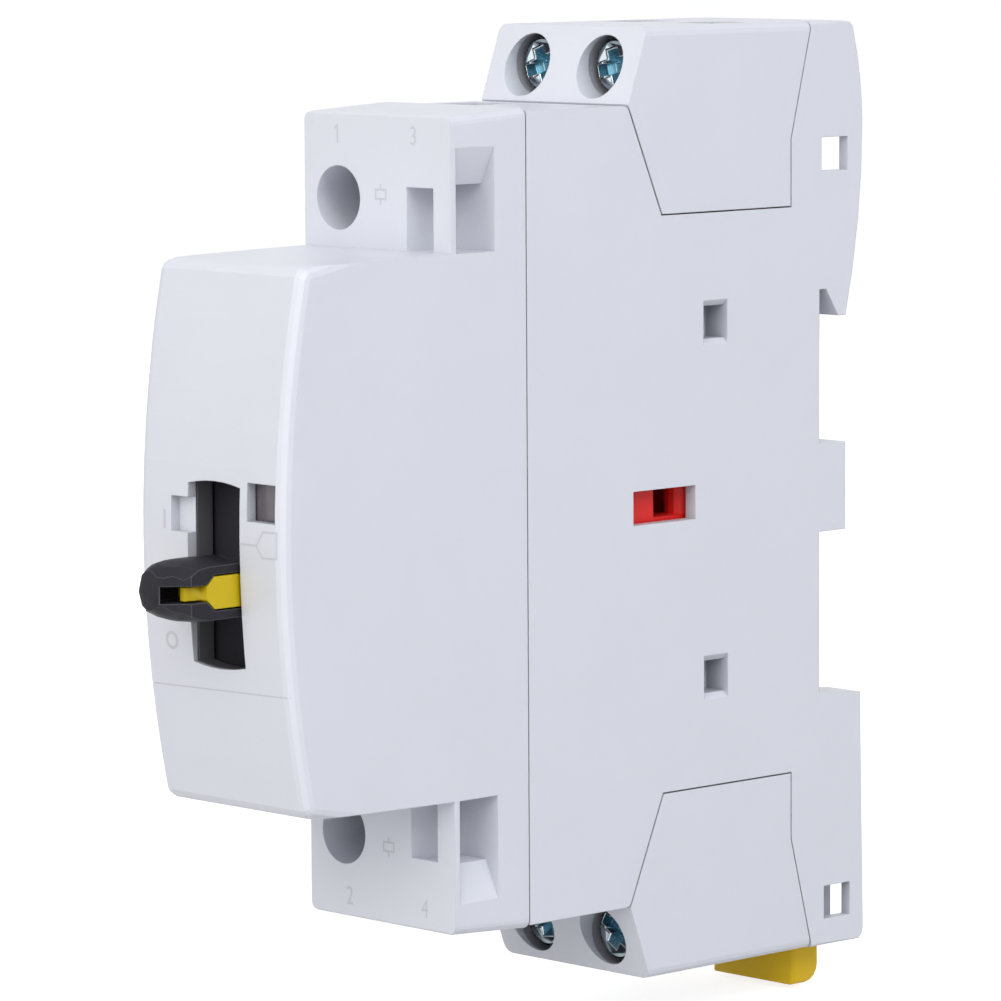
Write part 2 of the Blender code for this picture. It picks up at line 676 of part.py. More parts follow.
def cap_pocket_outline(side):
    """Side view of the recess that a terminal cap drops into."""
    front, rear = CAP_FRONT_Y - SEAM_GAP, CAP_REAR_Y + SEAM_GAP
    inner = CAP_INNER_Z - SEAM_GAP
    flare = CAP_REAR_FLARE / (TOP_Z - CAP_KINK_Z)
    top = TOP_Z + OVERCUT
    lean = SEAM_ROUND * CAP_SLOPE / (CAP_FRONT_Z - inner)
    corner = BASE_HEIGHT / 2
    points = [(front + lean, corner - SEAM_ROUND), (front - lean / 4, corner - SEAM_ROUND / 4)]
    points += [(front - SEAM_ROUND, corner), (front - SEAM_ROUND, top)]
    points += [(rear + CAP_REAR_FLARE + flare * OVERCUT, top), (rear, CAP_KINK_Z), (rear, inner)]
    points.append((front + CAP_SLOPE, inner))
    return [(y, side * z) for y, z in points]


def base_outline():
    """Side view of the base, with the caps' room still filled."""
    inside_cap = CAP_FRONT_Y + CAP_SLOPE
    points = [(SEAM_Y, BASE_HEIGHT / 2), (inside_cap, BASE_HEIGHT / 2), (inside_cap, TOP_Z)]
    back_top = HOOK_BACK - HOOK_TOP_SWEEP
    points += arc((back_top - REAR_CORNER, TOP_Z - REAR_CORNER), REAR_CORNER, 90, 0, 3)
    hook_z = NOTCH_TOP_Z - HOOK_REACH
    top_z = TOP_Z - REAR_CORNER
    for step in range(1, HOOK_STEPS):
        share = 1 - step / HOOK_STEPS
        z = HOOK_CREST_Z + (top_z - HOOK_CREST_Z) * share
        points.append((HOOK_BACK - HOOK_TOP_SWEEP * share ** 2, z))
    for step in range(HOOK_STEPS + 1):
        share = step / HOOK_STEPS
        z = HOOK_CREST_Z + (hook_z - HOOK_CREST_Z) * share
        points.append((HOOK_BACK - HOOK_SWEEP * share ** 2, z))
    points += [(HOOK_MOUTH, hook_z), (HOOK_POCKET, NOTCH_TOP_Z), (0.0, NOTCH_TOP_Z)]
    half = CENTRE_BLOCK / 2
    points += [(0.0, half), (CENTRE_BLOCK_DEPTH, half), (CENTRE_BLOCK_DEPTH, -half), (0.0, -half)]
    points += [(0.0, NOTCH_BOTTOM_Z), (FOOT_BACK - FOOT_DRAFT, NOTCH_BOTTOM_Z - FOOT_DRAFT)]
    foot = arc((FOOT_BACK - REAR_CORNER, -TOP_Z + REAR_CORNER), REAR_CORNER, 0, -90, 3)
    points += foot
    points += [(inside_cap, -TOP_Z), (inside_cap, -BASE_HEIGHT / 2), (SEAM_Y, -BASE_HEIGHT / 2)]
    return points


def coil_block_cutters(side):
    """Room for one coil terminal, its wire entry and its strip."""
    half = COIL_CHAMBER_WIDTH / 2
    left, right = COIL_TERMINAL_X - half, COIL_TERMINAL_X + half
    inner = CAVITY_Z + SIDE_WALL
    chamber_z = sorted((side * inner, side * COIL_CHAMBER_TOP_Z))
    tools = [box((left, SEAM_Y - OVERCUT, chamber_z[0]), (right, COIL_CHAMBER_REAR_Y, chamber_z[1]))]
    free = half + SIDE_WALL
    free_z = sorted((side * (CAVITY_Z - FIT_GAP), side * COIL_CHAMBER_TOP_Z))
    free_low = (COIL_TERMINAL_X + free, SEAM_Y - OVERCUT, free_z[0])
    tools.append(box(free_low, (INNER_HALF, COIL_CHAMBER_REAR_Y, free_z[1])))
    strip_half = COIL_STRIP_WIDTH / 2 + FIT_GAP
    strip_z = sorted((side * (CAVITY_Z - OVERCUT), side * (inner + FIT_GAP)))
    strip_low = (COIL_TERMINAL_X - strip_half, COIL_STRIP_Y - FIT_GAP, strip_z[0])
    strip_high = (COIL_TERMINAL_X + strip_half, COIL_STRIP_Y + COIL_STRIP + FIT_GAP, strip_z[1])
    tools.append(box(strip_low, strip_high))
    wire_y = COIL_STRIP_Y + COIL_STRIP
    wire_half = COIL_CAGE_WIDTH / 2
    wire_z = sorted((side * (COIL_CHAMBER_TOP_Z - FIT_GAP), side * (BASE_HEIGHT / 2 + OVERCUT)))
    wire_low = (COIL_TERMINAL_X - wire_half, wire_y, wire_z[0])
    tools.append(box(wire_low, (COIL_TERMINAL_X + wire_half, wire_y + COIL_WIRE_SPACE, wire_z[1])))
    return tools


def base_side_cutters():
    """Carrier window and block pockets in the right side wall, and the sight holes at the rear."""
    inside = INNER_HALF - FIT_GAP
    half = AUX_WINDOW_HEIGHT / 2
    outside = HALF_WIDTH + OVERCUT
    window_rear = COUPLING_Y + AUX_WINDOW_LENGTH
    tools = [box((inside, COUPLING_Y, -half), (outside, window_rear, half))]
    wide = AUX_POCKET_HEIGHT / 2
    narrow = wide - AUX_POCKET_CHAMFER
    flared = wide + OVERCUT
    neck = HALF_WIDTH - AUX_POCKET_CHAMFER
    rim = [(HALF_WIDTH - AUX_POCKET_DEPTH, narrow), (neck, narrow), (outside, flared)]
    front = AUX_POCKET_Y - AUX_POCKET_LENGTH / 2
    for side in (1, -1):
        outline = [(x, side * AUX_POCKET_Z + z) for x, z in rim + mirrored(rim)]
        tools.append(prism("tool", outline, front, front + AUX_POCKET_LENGTH, "Y"))
    for y, z in ((SIGHT_HOLE_UPPER_Y, SIGHT_HOLE_UPPER_Z), (SIGHT_HOLE_LOWER_Y, SIGHT_HOLE_LOWER_Z)):
        half_y, half_z = SIGHT_HOLE_LENGTH / 2, SIGHT_HOLE_HEIGHT / 2
        for side in (1, -1):
            across = sorted((side * (HALF_WIDTH - PLATE_WALL - FIT_GAP), side * outside))
            tools.append(box((across[0], y - half_y, z - half_z), (across[1], y + half_y, z + half_z)))
    return tools


def base_rear_cutters():
    """Cored-out rear, with the rail clip's channel between its guides."""
    plate = HALF_WIDTH - PLATE_WALL
    back = FOOT_BACK + OVERCUT
    clip_back = CLIP_Y + CLIP_PLATE + FIT_GAP
    lip_back = clip_back + CLIP_LIP_THICKNESS
    channel = CLIP_CHANNEL_HALF
    hook_top = NOTCH_TOP_Z + HOOK_ROOT
    tools = [box((-plate, -CORE_SETBACK, hook_top), (plate, back, TOP_Z - FLOOR_WALL))]
    tools.append(box((-channel, -CORE_SETBACK, FOOT_FLOOR_Z), (channel, clip_back, STEP_FLOOR_Z)))
    mouth = channel - CLIP_LIP
    tools.append(box((-mouth, clip_back - FIT_GAP, FOOT_FLOOR_Z), (mouth, back, STEP_FLOOR_Z)))
    tools.append(box((-plate, lip_back, FOOT_FLOOR_Z), (plate, back, STEP_FLOOR_Z)))
    for side in (1, -1):
        across = sorted((side * (channel + CLIP_GUIDE), side * plate))
        tools.append(box((across[0], -CORE_SETBACK, FOOT_FLOOR_Z), (across[1], back, STEP_FLOOR_Z)))
    slot_front = CLIP_Y - FIT_GAP
    step_low = (-channel, slot_front, STEP_FLOOR_Z - FIT_GAP)
    tools.append(box(step_low, (channel, back, NOTCH_BOTTOM_Z + OVERCUT)))
    foot_low = (-channel, slot_front, -TOP_Z - OVERCUT)
    tools.append(box(foot_low, (channel, clip_back, FOOT_FLOOR_Z + FIT_GAP)))
    return tools


def base_housing(material):
    """Rear half of the casing, open at the seam and cored out behind."""
    body = prism("base_housing", base_outline(), -HALF_WIDTH, HALF_WIDTH)
    round_edges(body, end_edge, SIDE_ROUND, 3)
    hollow = box((-INNER_HALF, SEAM_Y - OVERCUT, -CAVITY_Z), (INNER_HALF, -REAR_WALL, CAVITY_Z))
    tools = [hollow] + coil_block_cutters(1) + coil_block_cutters(-1)
    for side in (1, -1):
        tools.append(prism("tool", cap_pocket_outline(side), -HALF_WIDTH - OVERCUT, HALF_WIDTH + OVERCUT))
        for pole in (1, -1):
            half = BAR_WIDTH / 2 + FIT_GAP
            bar_z = sorted((side * (CAVITY_Z - OVERCUT), side * (CAP_INNER_Z + OVERCUT)))
            low = (pole * POLE_X - half, BAR_Y - FIT_GAP, bar_z[0])
            tools.append(box(low, (pole * POLE_X + half, BAR_Y + BAR + FIT_GAP, bar_z[1])))
    cut(body, *tools, *base_rear_cutters())
    pads = []
    for side in (1, -1):
        half_y, half_z = AUX_POCKET_LENGTH / 2 + AUX_PAD, AUX_POCKET_HEIGHT / 2 + AUX_PAD
        low = (HALF_WIDTH - AUX_POCKET_DEPTH - AUX_PAD, AUX_POCKET_Y - half_y, side * AUX_POCKET_Z - half_z)
        pads.append(box(low, (INNER_HALF + FIT_GAP, AUX_POCKET_Y + half_y, side * AUX_POCKET_Z + half_z)))
    post_low = (-CLIP_POST_WIDTH / 2, -CORE_SETBACK - FIT_GAP, CLIP_POST_Z - CLIP_POST)
    pads.append(box(post_low, (CLIP_POST_WIDTH / 2, CLIP_Y + CLIP_PLATE, CLIP_POST_Z)))
    fuse(body, *pads)
    cut(body, *base_side_cutters())
    return dress(body, "base_housing", material)


def terminal_cap(name, side, material):
    """Wedge-shaped cap with two screw wells, wire entries and clamp chambers."""
    body = prism(name, cap_outline(side), -HALF_WIDTH, HALF_WIDTH)
    round_edges(body, end_edge, SIDE_ROUND, 3)
    tools = []
    for pole in (1, -1):
        x = pole * POLE_X
        half = CHAMBER_WIDTH / 2
        chamber_z = sorted((side * (CAP_INNER_Z - OVERCUT), side * CHAMBER_TOP_Z))
        chamber_low = (x - half, CHAMBER_FRONT_Y, chamber_z[0])
        tools.append(box(chamber_low, (x + half, CHAMBER_REAR_Y, chamber_z[1])))
        centre = (x, side * TERMINAL_Z)
        well_rear = CAP_FACE_Y + WELL_DEPTH
        front = CAP_FRONT_Y - OVERCUT
        tools.append(rod("Y", centre, WELL_DIAMETER, front, well_rear + FIT_GAP, sides=HOLE_SIDES))
        tools.append(rod("Y", centre, HEAD_ROOM_DIAMETER, well_rear, SCREW_SEAT_Y, sides=HOLE_SIDES))
        shank = SCREW_SHANK_DIAMETER + 2 * FIT_GAP
        tools.append(rod("Y", centre, shank, SCREW_SEAT_Y - FIT_GAP, CHAMBER_FRONT_Y + FIT_GAP))
        wire_half = CAGE_WIDTH / 2 - CAGE_WALL
        wire_z = sorted((side * (CHAMBER_TOP_Z - FIT_GAP), side * (TOP_Z + OVERCUT)))
        wire_y = BAR_Y + BAR
        wire_low = (x - wire_half, wire_y, wire_z[0])
        tools.append(box(wire_low, (x + wire_half, wire_y + WIRE_SPACE, wire_z[1])))
    cut(body, *tools)
    return dress(body, name, material)


def clamp_screw(name, centre, front, tip, head_diameter, head, shank_diameter, material):
    """A pan-head screw along +Y with a slotted and crossed drive."""
    body = rod("Y", centre, head_diameter, front, front + head)
    fuse(body, rod("Y", centre, shank_diameter, front + head - DRIVE_WIDTH / 4, tip))
    x, z = centre
    reach, half = head_diameter, DRIVE_WIDTH / 2
    floor = front + DRIVE_DEPTH
    slot = box((x - reach, front - OVERCUT, z - half), (x + reach, floor, z + half))
    cross_reach = shank_diameter / 2
    cross = box((x - half, front - OVERCUT, z - cross_reach), (x + half, floor, z + cross_reach))
    cut(body, slot, cross)
    place_origin(body, (x, front, z))
    return dress(body, name, material)


def cage(name, centre, front, depth, width, length, wall, bore, material):
    """A box clamp, open along the wire, with a hole for its screw in the front wall."""
    x, z = centre
    half, span = width / 2, length / 2
    body = box((x - half, front, z - span), (x + half, front + depth, z + span))
    inner = half - wall
    window = box((x - inner, front + wall, z - length), (x + inner, front + depth - wall, z + length))
    hole = rod("Y", centre, bore, front - OVERCUT, front + wall + FIT_GAP)
    cut(body, window, hole)
    place_origin(body, (x, front, z))
    return dress(body, name, material)


def fixed_contact(name, pole, side, material):
    """Terminal bar that jogs forward inside the base and ends in a contact tip."""
    outer = CHAMBER_TOP_Z - FIT_GAP
    inner = CONTACT_Z - TIP_DIAMETER / 2 - FIT_GAP
    front, rear = BAR_Y, BAR_Y + BAR
    outline = [(front, outer), (front, JOG_Z), (front - BAR_JOG, JOG_Z - BAR), (front - BAR_JOG, inner)]
    outline += [(rear - BAR_JOG, inner), (rear - BAR_JOG, JOG_Z - 2 * BAR)]
    outline += [(rear, JOG_Z - BAR), (rear, outer)]
    x = pole * POLE_X
    half = BAR_WIDTH / 2
    body = prism(name, [(y, side * z) for y, z in outline], x - half, x + half)
    face = rear - BAR_JOG
    fuse(body, rod("Y", (x, side * CONTACT_Z), TIP_DIAMETER, face - BAR / 2, face + TIP))
    return dress(body, name, material)


def moving_bridge(name, pole, material):
    """Contact bridge with a tip at each end."""
    x = pole * POLE_X
    half = BRIDGE_LENGTH / 2
    body = prism(name, rounded(x - BRIDGE_WIDTH / 2, x + BRIDGE_WIDTH / 2, -half, half, BRIDGE_WIDTH / 4),
                 BRIDGE_Y, BRIDGE_Y + BRIDGE, "Y")
    for side in (1, -1):
        fuse(body, rod("Y", (x, side * CONTACT_Z), TIP_DIAMETER, BRIDGE_Y - TIP, BRIDGE_Y + BRIDGE / 2))
    return dress(body, name, material)


def magnet_yoke(material):
    """E-shaped laminated core around the coil."""
    half, inner = CORE_HEIGHT / 2, CORE_HEIGHT / 2 - OUTER_POLE
    back, pole = YOKE_Y + YOKE_BACK, CENTRE_POLE / 2
    upper = [(YOKE_Y, half), (POLE_FACE_Y, half), (POLE_FACE_Y, inner), (back, inner)]
    upper += [(back, pole), (POLE_FACE_Y, pole)]
    body = prism("magnet_yoke", upper + mirrored(upper), -CORE_STACK / 2, CORE_STACK / 2)
    return dress(body, "magnet_yoke", material)


def armature(material):
    """Moving bar of the magnet, with chamfered ends."""
    half = CORE_HEIGHT / 2
    slant = ARMATURE / 2
    rear = ARMATURE_Y + ARMATURE
    upper = [(ARMATURE_Y, half), (rear - slant, half), (rear, half - slant)]
    body = prism("armature", upper + mirrored(upper), -CORE_STACK / 2, CORE_STACK / 2)
    return dress(body, "armature", material)


def bobbin_planes():
    """Front and rear planes of the bobbin."""
    return YOKE_Y + YOKE_BACK + FIT_GAP, POLE_FACE_Y - FIT_GAP


def coil_bobbin(material):
    """Flanged former on the centre pole."""
    front, rear = bobbin_planes()
    bore_x, bore_z = CORE_STACK / 2 + FIT_GAP, CENTRE_POLE / 2 + FIT_GAP
    tube_x, tube_z = bore_x + BOBBIN_WALL, bore_z + BOBBIN_WALL
    flange_x, flange_z = BOBBIN_HALF, CORE_HEIGHT / 2 - OUTER_POLE - FIT_GAP
    body = prism("coil_bobbin", rectangle(-tube_x, tube_x, -tube_z, tube_z), front + BOBBIN_FLANGE / 2,
                 rear - BOBBIN_FLANGE / 2, "Y")
    outline = rounded(-flange_x, flange_x, -flange_z, flange_z, WINDING_CORNER)
    fuse(body, prism("tool", outline, front, front + BOBBIN_FLANGE, "Y"),
         prism("tool", outline, rear - BOBBIN_FLANGE, rear, "Y"))
    cut(body, box((-bore_x, front - OVERCUT, -bore_z), (bore_x, rear + OVERCUT, bore_z)))
    return dress(body, "coil_bobbin", material)


def coil_winding(material):
    """Wound copper between the bobbin's flanges."""
    front, rear = bobbin_planes()
    front += BOBBIN_FLANGE + SEAM_GAP
    rear -= BOBBIN_FLANGE + SEAM_GAP
    inner_x = CORE_STACK / 2 + FIT_GAP + BOBBIN_WALL + SEAM_GAP
    inner_z = CENTRE_POLE / 2 + FIT_GAP + BOBBIN_WALL + SEAM_GAP
    outer_x = BOBBIN_HALF
    outer_z = inner_z + outer_x - inner_x
    outline = rounded(-outer_x, outer_x, -outer_z, outer_z, WINDING_CORNER)
    body = prism("coil_winding", outline, front, rear, "Y")
    cut(body, box((-inner_x, front - OVERCUT, -inner_z), (inner_x, rear + OVERCUT, inner_z)))
    return dress(body, "coil_winding", material)


def coil_strip(name, side, material):
    """Flat lead from the coil to one of its terminals."""
    half = COIL_STRIP_WIDTH / 2
    inner = CORE_HEIGHT / 2 - OUTER_POLE
    outer = COIL_CHAMBER_TOP_Z - SIDE_WALL
    shoulder = CAVITY_Z - SIDE_WALL
    low, high = COIL_TERMINAL_X - half, COIL_TERMINAL_X + half
    narrow = high - COIL_STRIP_WIDTH / 3
    outline = [(low, inner), (low, outer), (high, outer), (high, shoulder)]
    outline += [(narrow, shoulder - half), (narrow, inner)]
    body = prism(name, [(x, side * z) for x, z in outline], COIL_STRIP_Y, COIL_STRIP_Y + COIL_STRIP, "Y")
    return dress(body, name, material)


def contact_carrier(material):
    """Red carrier: plate behind the armature, web, bridge ledges and the side coupling."""
    half = CARRIER_HALF
    arm_half = RETURN_SPRING_DIAMETER / 2
    arm_z = RETURN_SPRING_Z + arm_half
    plate_rear = CARRIER_PLATE_Y + CARRIER_PLATE
    height = CARRIER_HEIGHT / 2
    body = box((-half, CARRIER_PLATE_Y, -height), (half, plate_rear, height))
    overlap = FIT_GAP
    parts = [box((-arm_half, CARRIER_PLATE_Y, -arm_z), (arm_half, plate_rear, arm_z))]
    lug_z = CORE_HEIGHT / 2 + FIT_GAP
    for side in (1, -1):
        z = sorted((side * lug_z, side * (lug_z + CARRIER_LUG)))
        parts.append(box((-arm_half, ARMATURE_Y, z[0]), (arm_half, plate_rear - overlap, z[1])))
    web = CARRIER_WEB / 2
    parts.append(box((-web, plate_rear - overlap, -height), (web, CARRIER_REAR_Y, height)))
    ledge = CARRIER_LEDGE_HEIGHT / 2
    parts.append(box((-half, LEDGE_Y, -ledge), (half, LEDGE_Y + CARRIER_LEDGE, ledge)))
    parts.append(box((-half, CARRIER_REAR_Y - RIB, -ledge), (half, CARRIER_REAR_Y, ledge)))
    fuse(body, *parts, *coupling_parts())
    return dress(body, "contact_carrier", material)


def coupling_parts():
    """The coupling seen in the side window: a flat face, a gap and a half-round bar."""
    outer = INNER_HALF - FIT_GAP
    inner = CARRIER_HALF - RIB
    half = COUPLING_HEIGHT / 2
    face_rear = COUPLING_Y + COUPLING_FACE
    parts = [box((inner, COUPLING_Y, -half), (outer, face_rear, half))]
    radius = COUPLING_ROUND / 2
    round_centre = (outer - radius, face_rear + COUPLING_GAP + radius)
    parts.append(prism("tool", circle(round_centre, radius, 16), -half, half, "Z"))
    low = (inner, face_rear - RIB)
    high = (outer - FIT_GAP / 2, LEDGE_Y + FIT_GAP)
    floor_top = -AUX_WINDOW_HEIGHT / 2 + FIT_GAP
    roof_bottom = half - COUPLING_FLOOR / 2
    parts.append(box((*low, -half - FIT_GAP), (*high, floor_top)))
    parts.append(box((*low, roof_bottom), (*high, half + FIT_GAP)))
    return parts


def indicator_flag(material):
    """Flag behind the lens, on a long arm from the carrier."""
    right = FLAG_RIGHT_X
    arm_z = COUPLING_HEIGHT / 2 + 2 * FIT_GAP
    front = NOSE_Y + LENS_DEPTH + SEAM_GAP + LENS + FIT_GAP + STROKE
    rear = CARRIER_PLATE_Y + CARRIER_PLATE
    body = box((FLAG_LEFT_X, front, arm_z), (right, rear, arm_z + FLAG_ARM_HEIGHT))
    edge = FIT_GAP / 3
    low_z = LENS_Z - FLAG_HEIGHT / 2
    low = (right - FLAG_WIDTH, front - edge, low_z)
    fuse(body, box(low, (right - edge, front + FLAG, low_z + FLAG_HEIGHT)))
    return dress(body, "indicator_flag", material)


def selector_bezel(material):
    """Liner ring behind the selector slot's lip."""
    front, rear = NOSE_Y + SLOT_LIP + SEAM_GAP, SHUTTER_Y - FIT_GAP
    body = prism("selector_bezel", slot_outline(LINER_WALL), front, rear, "Y")
    cut(body, prism("tool", slot_outline(0.0), front - OVERCUT, rear + OVERCUT, "Y"))
    return dress(body, "selector_bezel", material)


def lever_rings():
    """Cross sections of the lever from its root in the slot to its beak."""
    half = LEVER_HEIGHT / 2
    levels = [(NOSE_Y - LEVER_REACH * row[0], *row[1:]) for row in reversed(LEVER_SECTIONS)]
    levels.insert(0, (SHUTTER_Y + SHUTTER / 2, 1.0, 1.0, 1.0, 1.0, 1.0))
    shares = (-1.0, -0.5, 0.0, 0.5, 1.0)
    rings = []
    for y, width, top_edge, top_middle, low_edge, low_middle in levels:
        upper = [(t, top_edge + (top_middle - top_edge) * (1 - t * t)) for t in shares]
        lower = [(t, -low_edge - (low_middle - low_edge) * (1 - t * t)) for t in reversed(shares)]
        reach = LEVER_HALF * width
        rings.append([(SELECTOR_X + reach * t, y, LEVER_Z + half * rise) for t, rise in upper + lower])
    return rings


def lock_outline(play):
    """Side view of the lock slide, grown by a play."""
    rear = NOSE_Y + LOCK_SUNK + play
    broad = NOSE_Y - LOCK_REACH
    narrow = broad - LOCK_TAPER
    tip = narrow - LOCK_TONGUE - play
    half, thin = LOCK_HEIGHT / 2 + play, LOCK_TONGUE_HEIGHT / 2 + play
    upper = [(rear, half), (broad, half), (narrow, thin), (tip, thin)]
    return [(y, LEVER_Z + z) for y, z in upper + mirrored(upper)]


def selector_lever(material):
    """Black selector: forked lever with its flat shutter behind the slot."""
    body = solid("selector_lever", lever_rings(), True)
    low, high = SELECTOR_X - SHUTTER_HALF, SELECTOR_X + SHUTTER_HALF
    edge = [(high, SHUTTER_BOTTOM), (high, SHUTTER_TOP), (low, SHUTTER_TOP)]
    for stop in (SELECTOR_DOWN, 0.0, -SELECTOR_UP):
        z = LEVER_Z + stop
        edge += [(low, z + DETENT_DEPTH), (low + DETENT_DEPTH, z), (low, z - DETENT_DEPTH)]
    edge.append((low, SHUTTER_BOTTOM))
    fuse(body, prism("tool", edge, SHUTTER_Y, SHUTTER_Y + SHUTTER, "Y"))
    slit = LOCK_TONGUE_HEIGHT / 2 + LOCK_PLAY
    slit_tip = NOSE_Y - LEVER_REACH + LEVER_TIP_WALL
    mid = NOSE_Y - LOCK_REACH - LOCK_TAPER
    window = prism("tool", lock_outline(LOCK_PLAY), SELECTOR_X - SLOT_WIDTH, SELECTOR_X + SLOT_WIDTH)
    slit_low = (SELECTOR_X - SLOT_WIDTH, slit_tip, LEVER_Z - slit)
    cut(body, window, box(slit_low, (SELECTOR_X + SLOT_WIDTH, mid, LEVER_Z + slit)))
    place_origin(body, (SELECTOR_X, SHUTTER_Y, LEVER_Z))
    return dress(body, "selector_lever", material)


def lever_lock(material):
    """Yellow slide that crosses the lever; its left half stays in front of the nose."""
    left, right = SELECTOR_X - LEVER_HALF, SELECTOR_X + LEVER_HALF
    body = prism("lever_lock", lock_outline(0.0), left, right)
    step_x = SELECTOR_X - SLOT_WIDTH / 2 + LOCK_TRAVEL + FIT_GAP
    bottom, top = LEVER_Z - LEVER_HEIGHT, LEVER_Z + LEVER_HEIGHT
    tools = [box((left - OVERCUT, NOSE_Y - FIT_GAP, bottom), (step_x, NOSE_Y + OVERCUT, top))]
    neck = NOSE_Y - LOCK_REACH - LOCK_TAPER
    tip = neck - LOCK_TONGUE - OVERCUT
    tools.append(box((left - OVERCUT, tip, bottom), (left + LOCK_TONGUE_INSET, neck, top)))
    tools.append(box((right - LOCK_TONGUE_INSET, tip, bottom), (right + OVERCUT, neck, top)))
    cut(body, *tools)
    place_origin(body, (SELECTOR_X, NOSE_Y - LOCK_REACH, LEVER_Z))
    return dress(body, "lever_lock", material)


def detent_spring(material):
    """Leaf that clicks into the shutter's edge at each of the three positions."""
    half = DETENT_SPAN / 2
    bump = DETENT_DEPTH
    apex = DETENT_X + DETENT_DEPTH + FIT_GAP
    right = [(DETENT_X, -half), (DETENT_X, -bump), (apex, 0.0), (DETENT_X, bump), (DETENT_X, half)]
    left = [(x - DETENT_STRIP, z) for x, z in reversed(right)]
    front = SHUTTER_Y + (SHUTTER - DETENT_WIDTH) / 2
    outline = [(x, LEVER_Z + z) for x, z in right + left]
    body = prism("detent_spring", outline, front, front + DETENT_WIDTH, "Y")
    return dress(body, "detent_spring", material)


def din_clip(material):
    """Yellow rail clip: plate with a spring window, bevelled tip and pull tab."""
    rear = CLIP_Y + CLIP_PLATE
    bottom = -TOP_Z - FIT_GAP
    outline = [(CLIP_Y, bottom - CLIP_NOSE), (CLIP_Y, CLIP_TIP_Z), (CLIP_Y + CLIP_NOSE, CLIP_TIP_Z)]
    outline += [(rear, CLIP_TIP_Z - CLIP_LEAD_IN), (rear, bottom - CLIP_NOSE)]
    half = CLIP_WIDTH / 2
    body = prism("din_clip", outline, -half, half)
    tab_y = CLIP_Y - CLIP_TAB_LEAD
    tab_rear = tab_y + CLIP_TAB_THICKNESS
    tab_z = -TOP_Z - CLIP_TAB_DROP
    tab = [(tab_y, bottom), (tab_y, tab_z)]
    tab += arc((tab_rear - CLIP_TAB_ROUND, tab_z + CLIP_TAB_ROUND), CLIP_TAB_ROUND, -90, 0, 4)
    tab.append((tab_rear, bottom))
    fuse(body, prism("tool", tab, -CLIP_TAB_WIDTH / 2, CLIP_TAB_WIDTH / 2))
    window = CLIP_WINDOW_WIDTH / 2
    window_bottom = CLIP_POST_Z - CLIP_POST - FIT_GAP
    cut(body, box((-window, CLIP_Y - OVERCUT, window_bottom), (window, rear + OVERCUT, CLIP_WINDOW_TOP)))
    place_origin(body, (0.0, CLIP_Y, CLIP_TIP_Z))
    return dress(body, "din_clip", material)


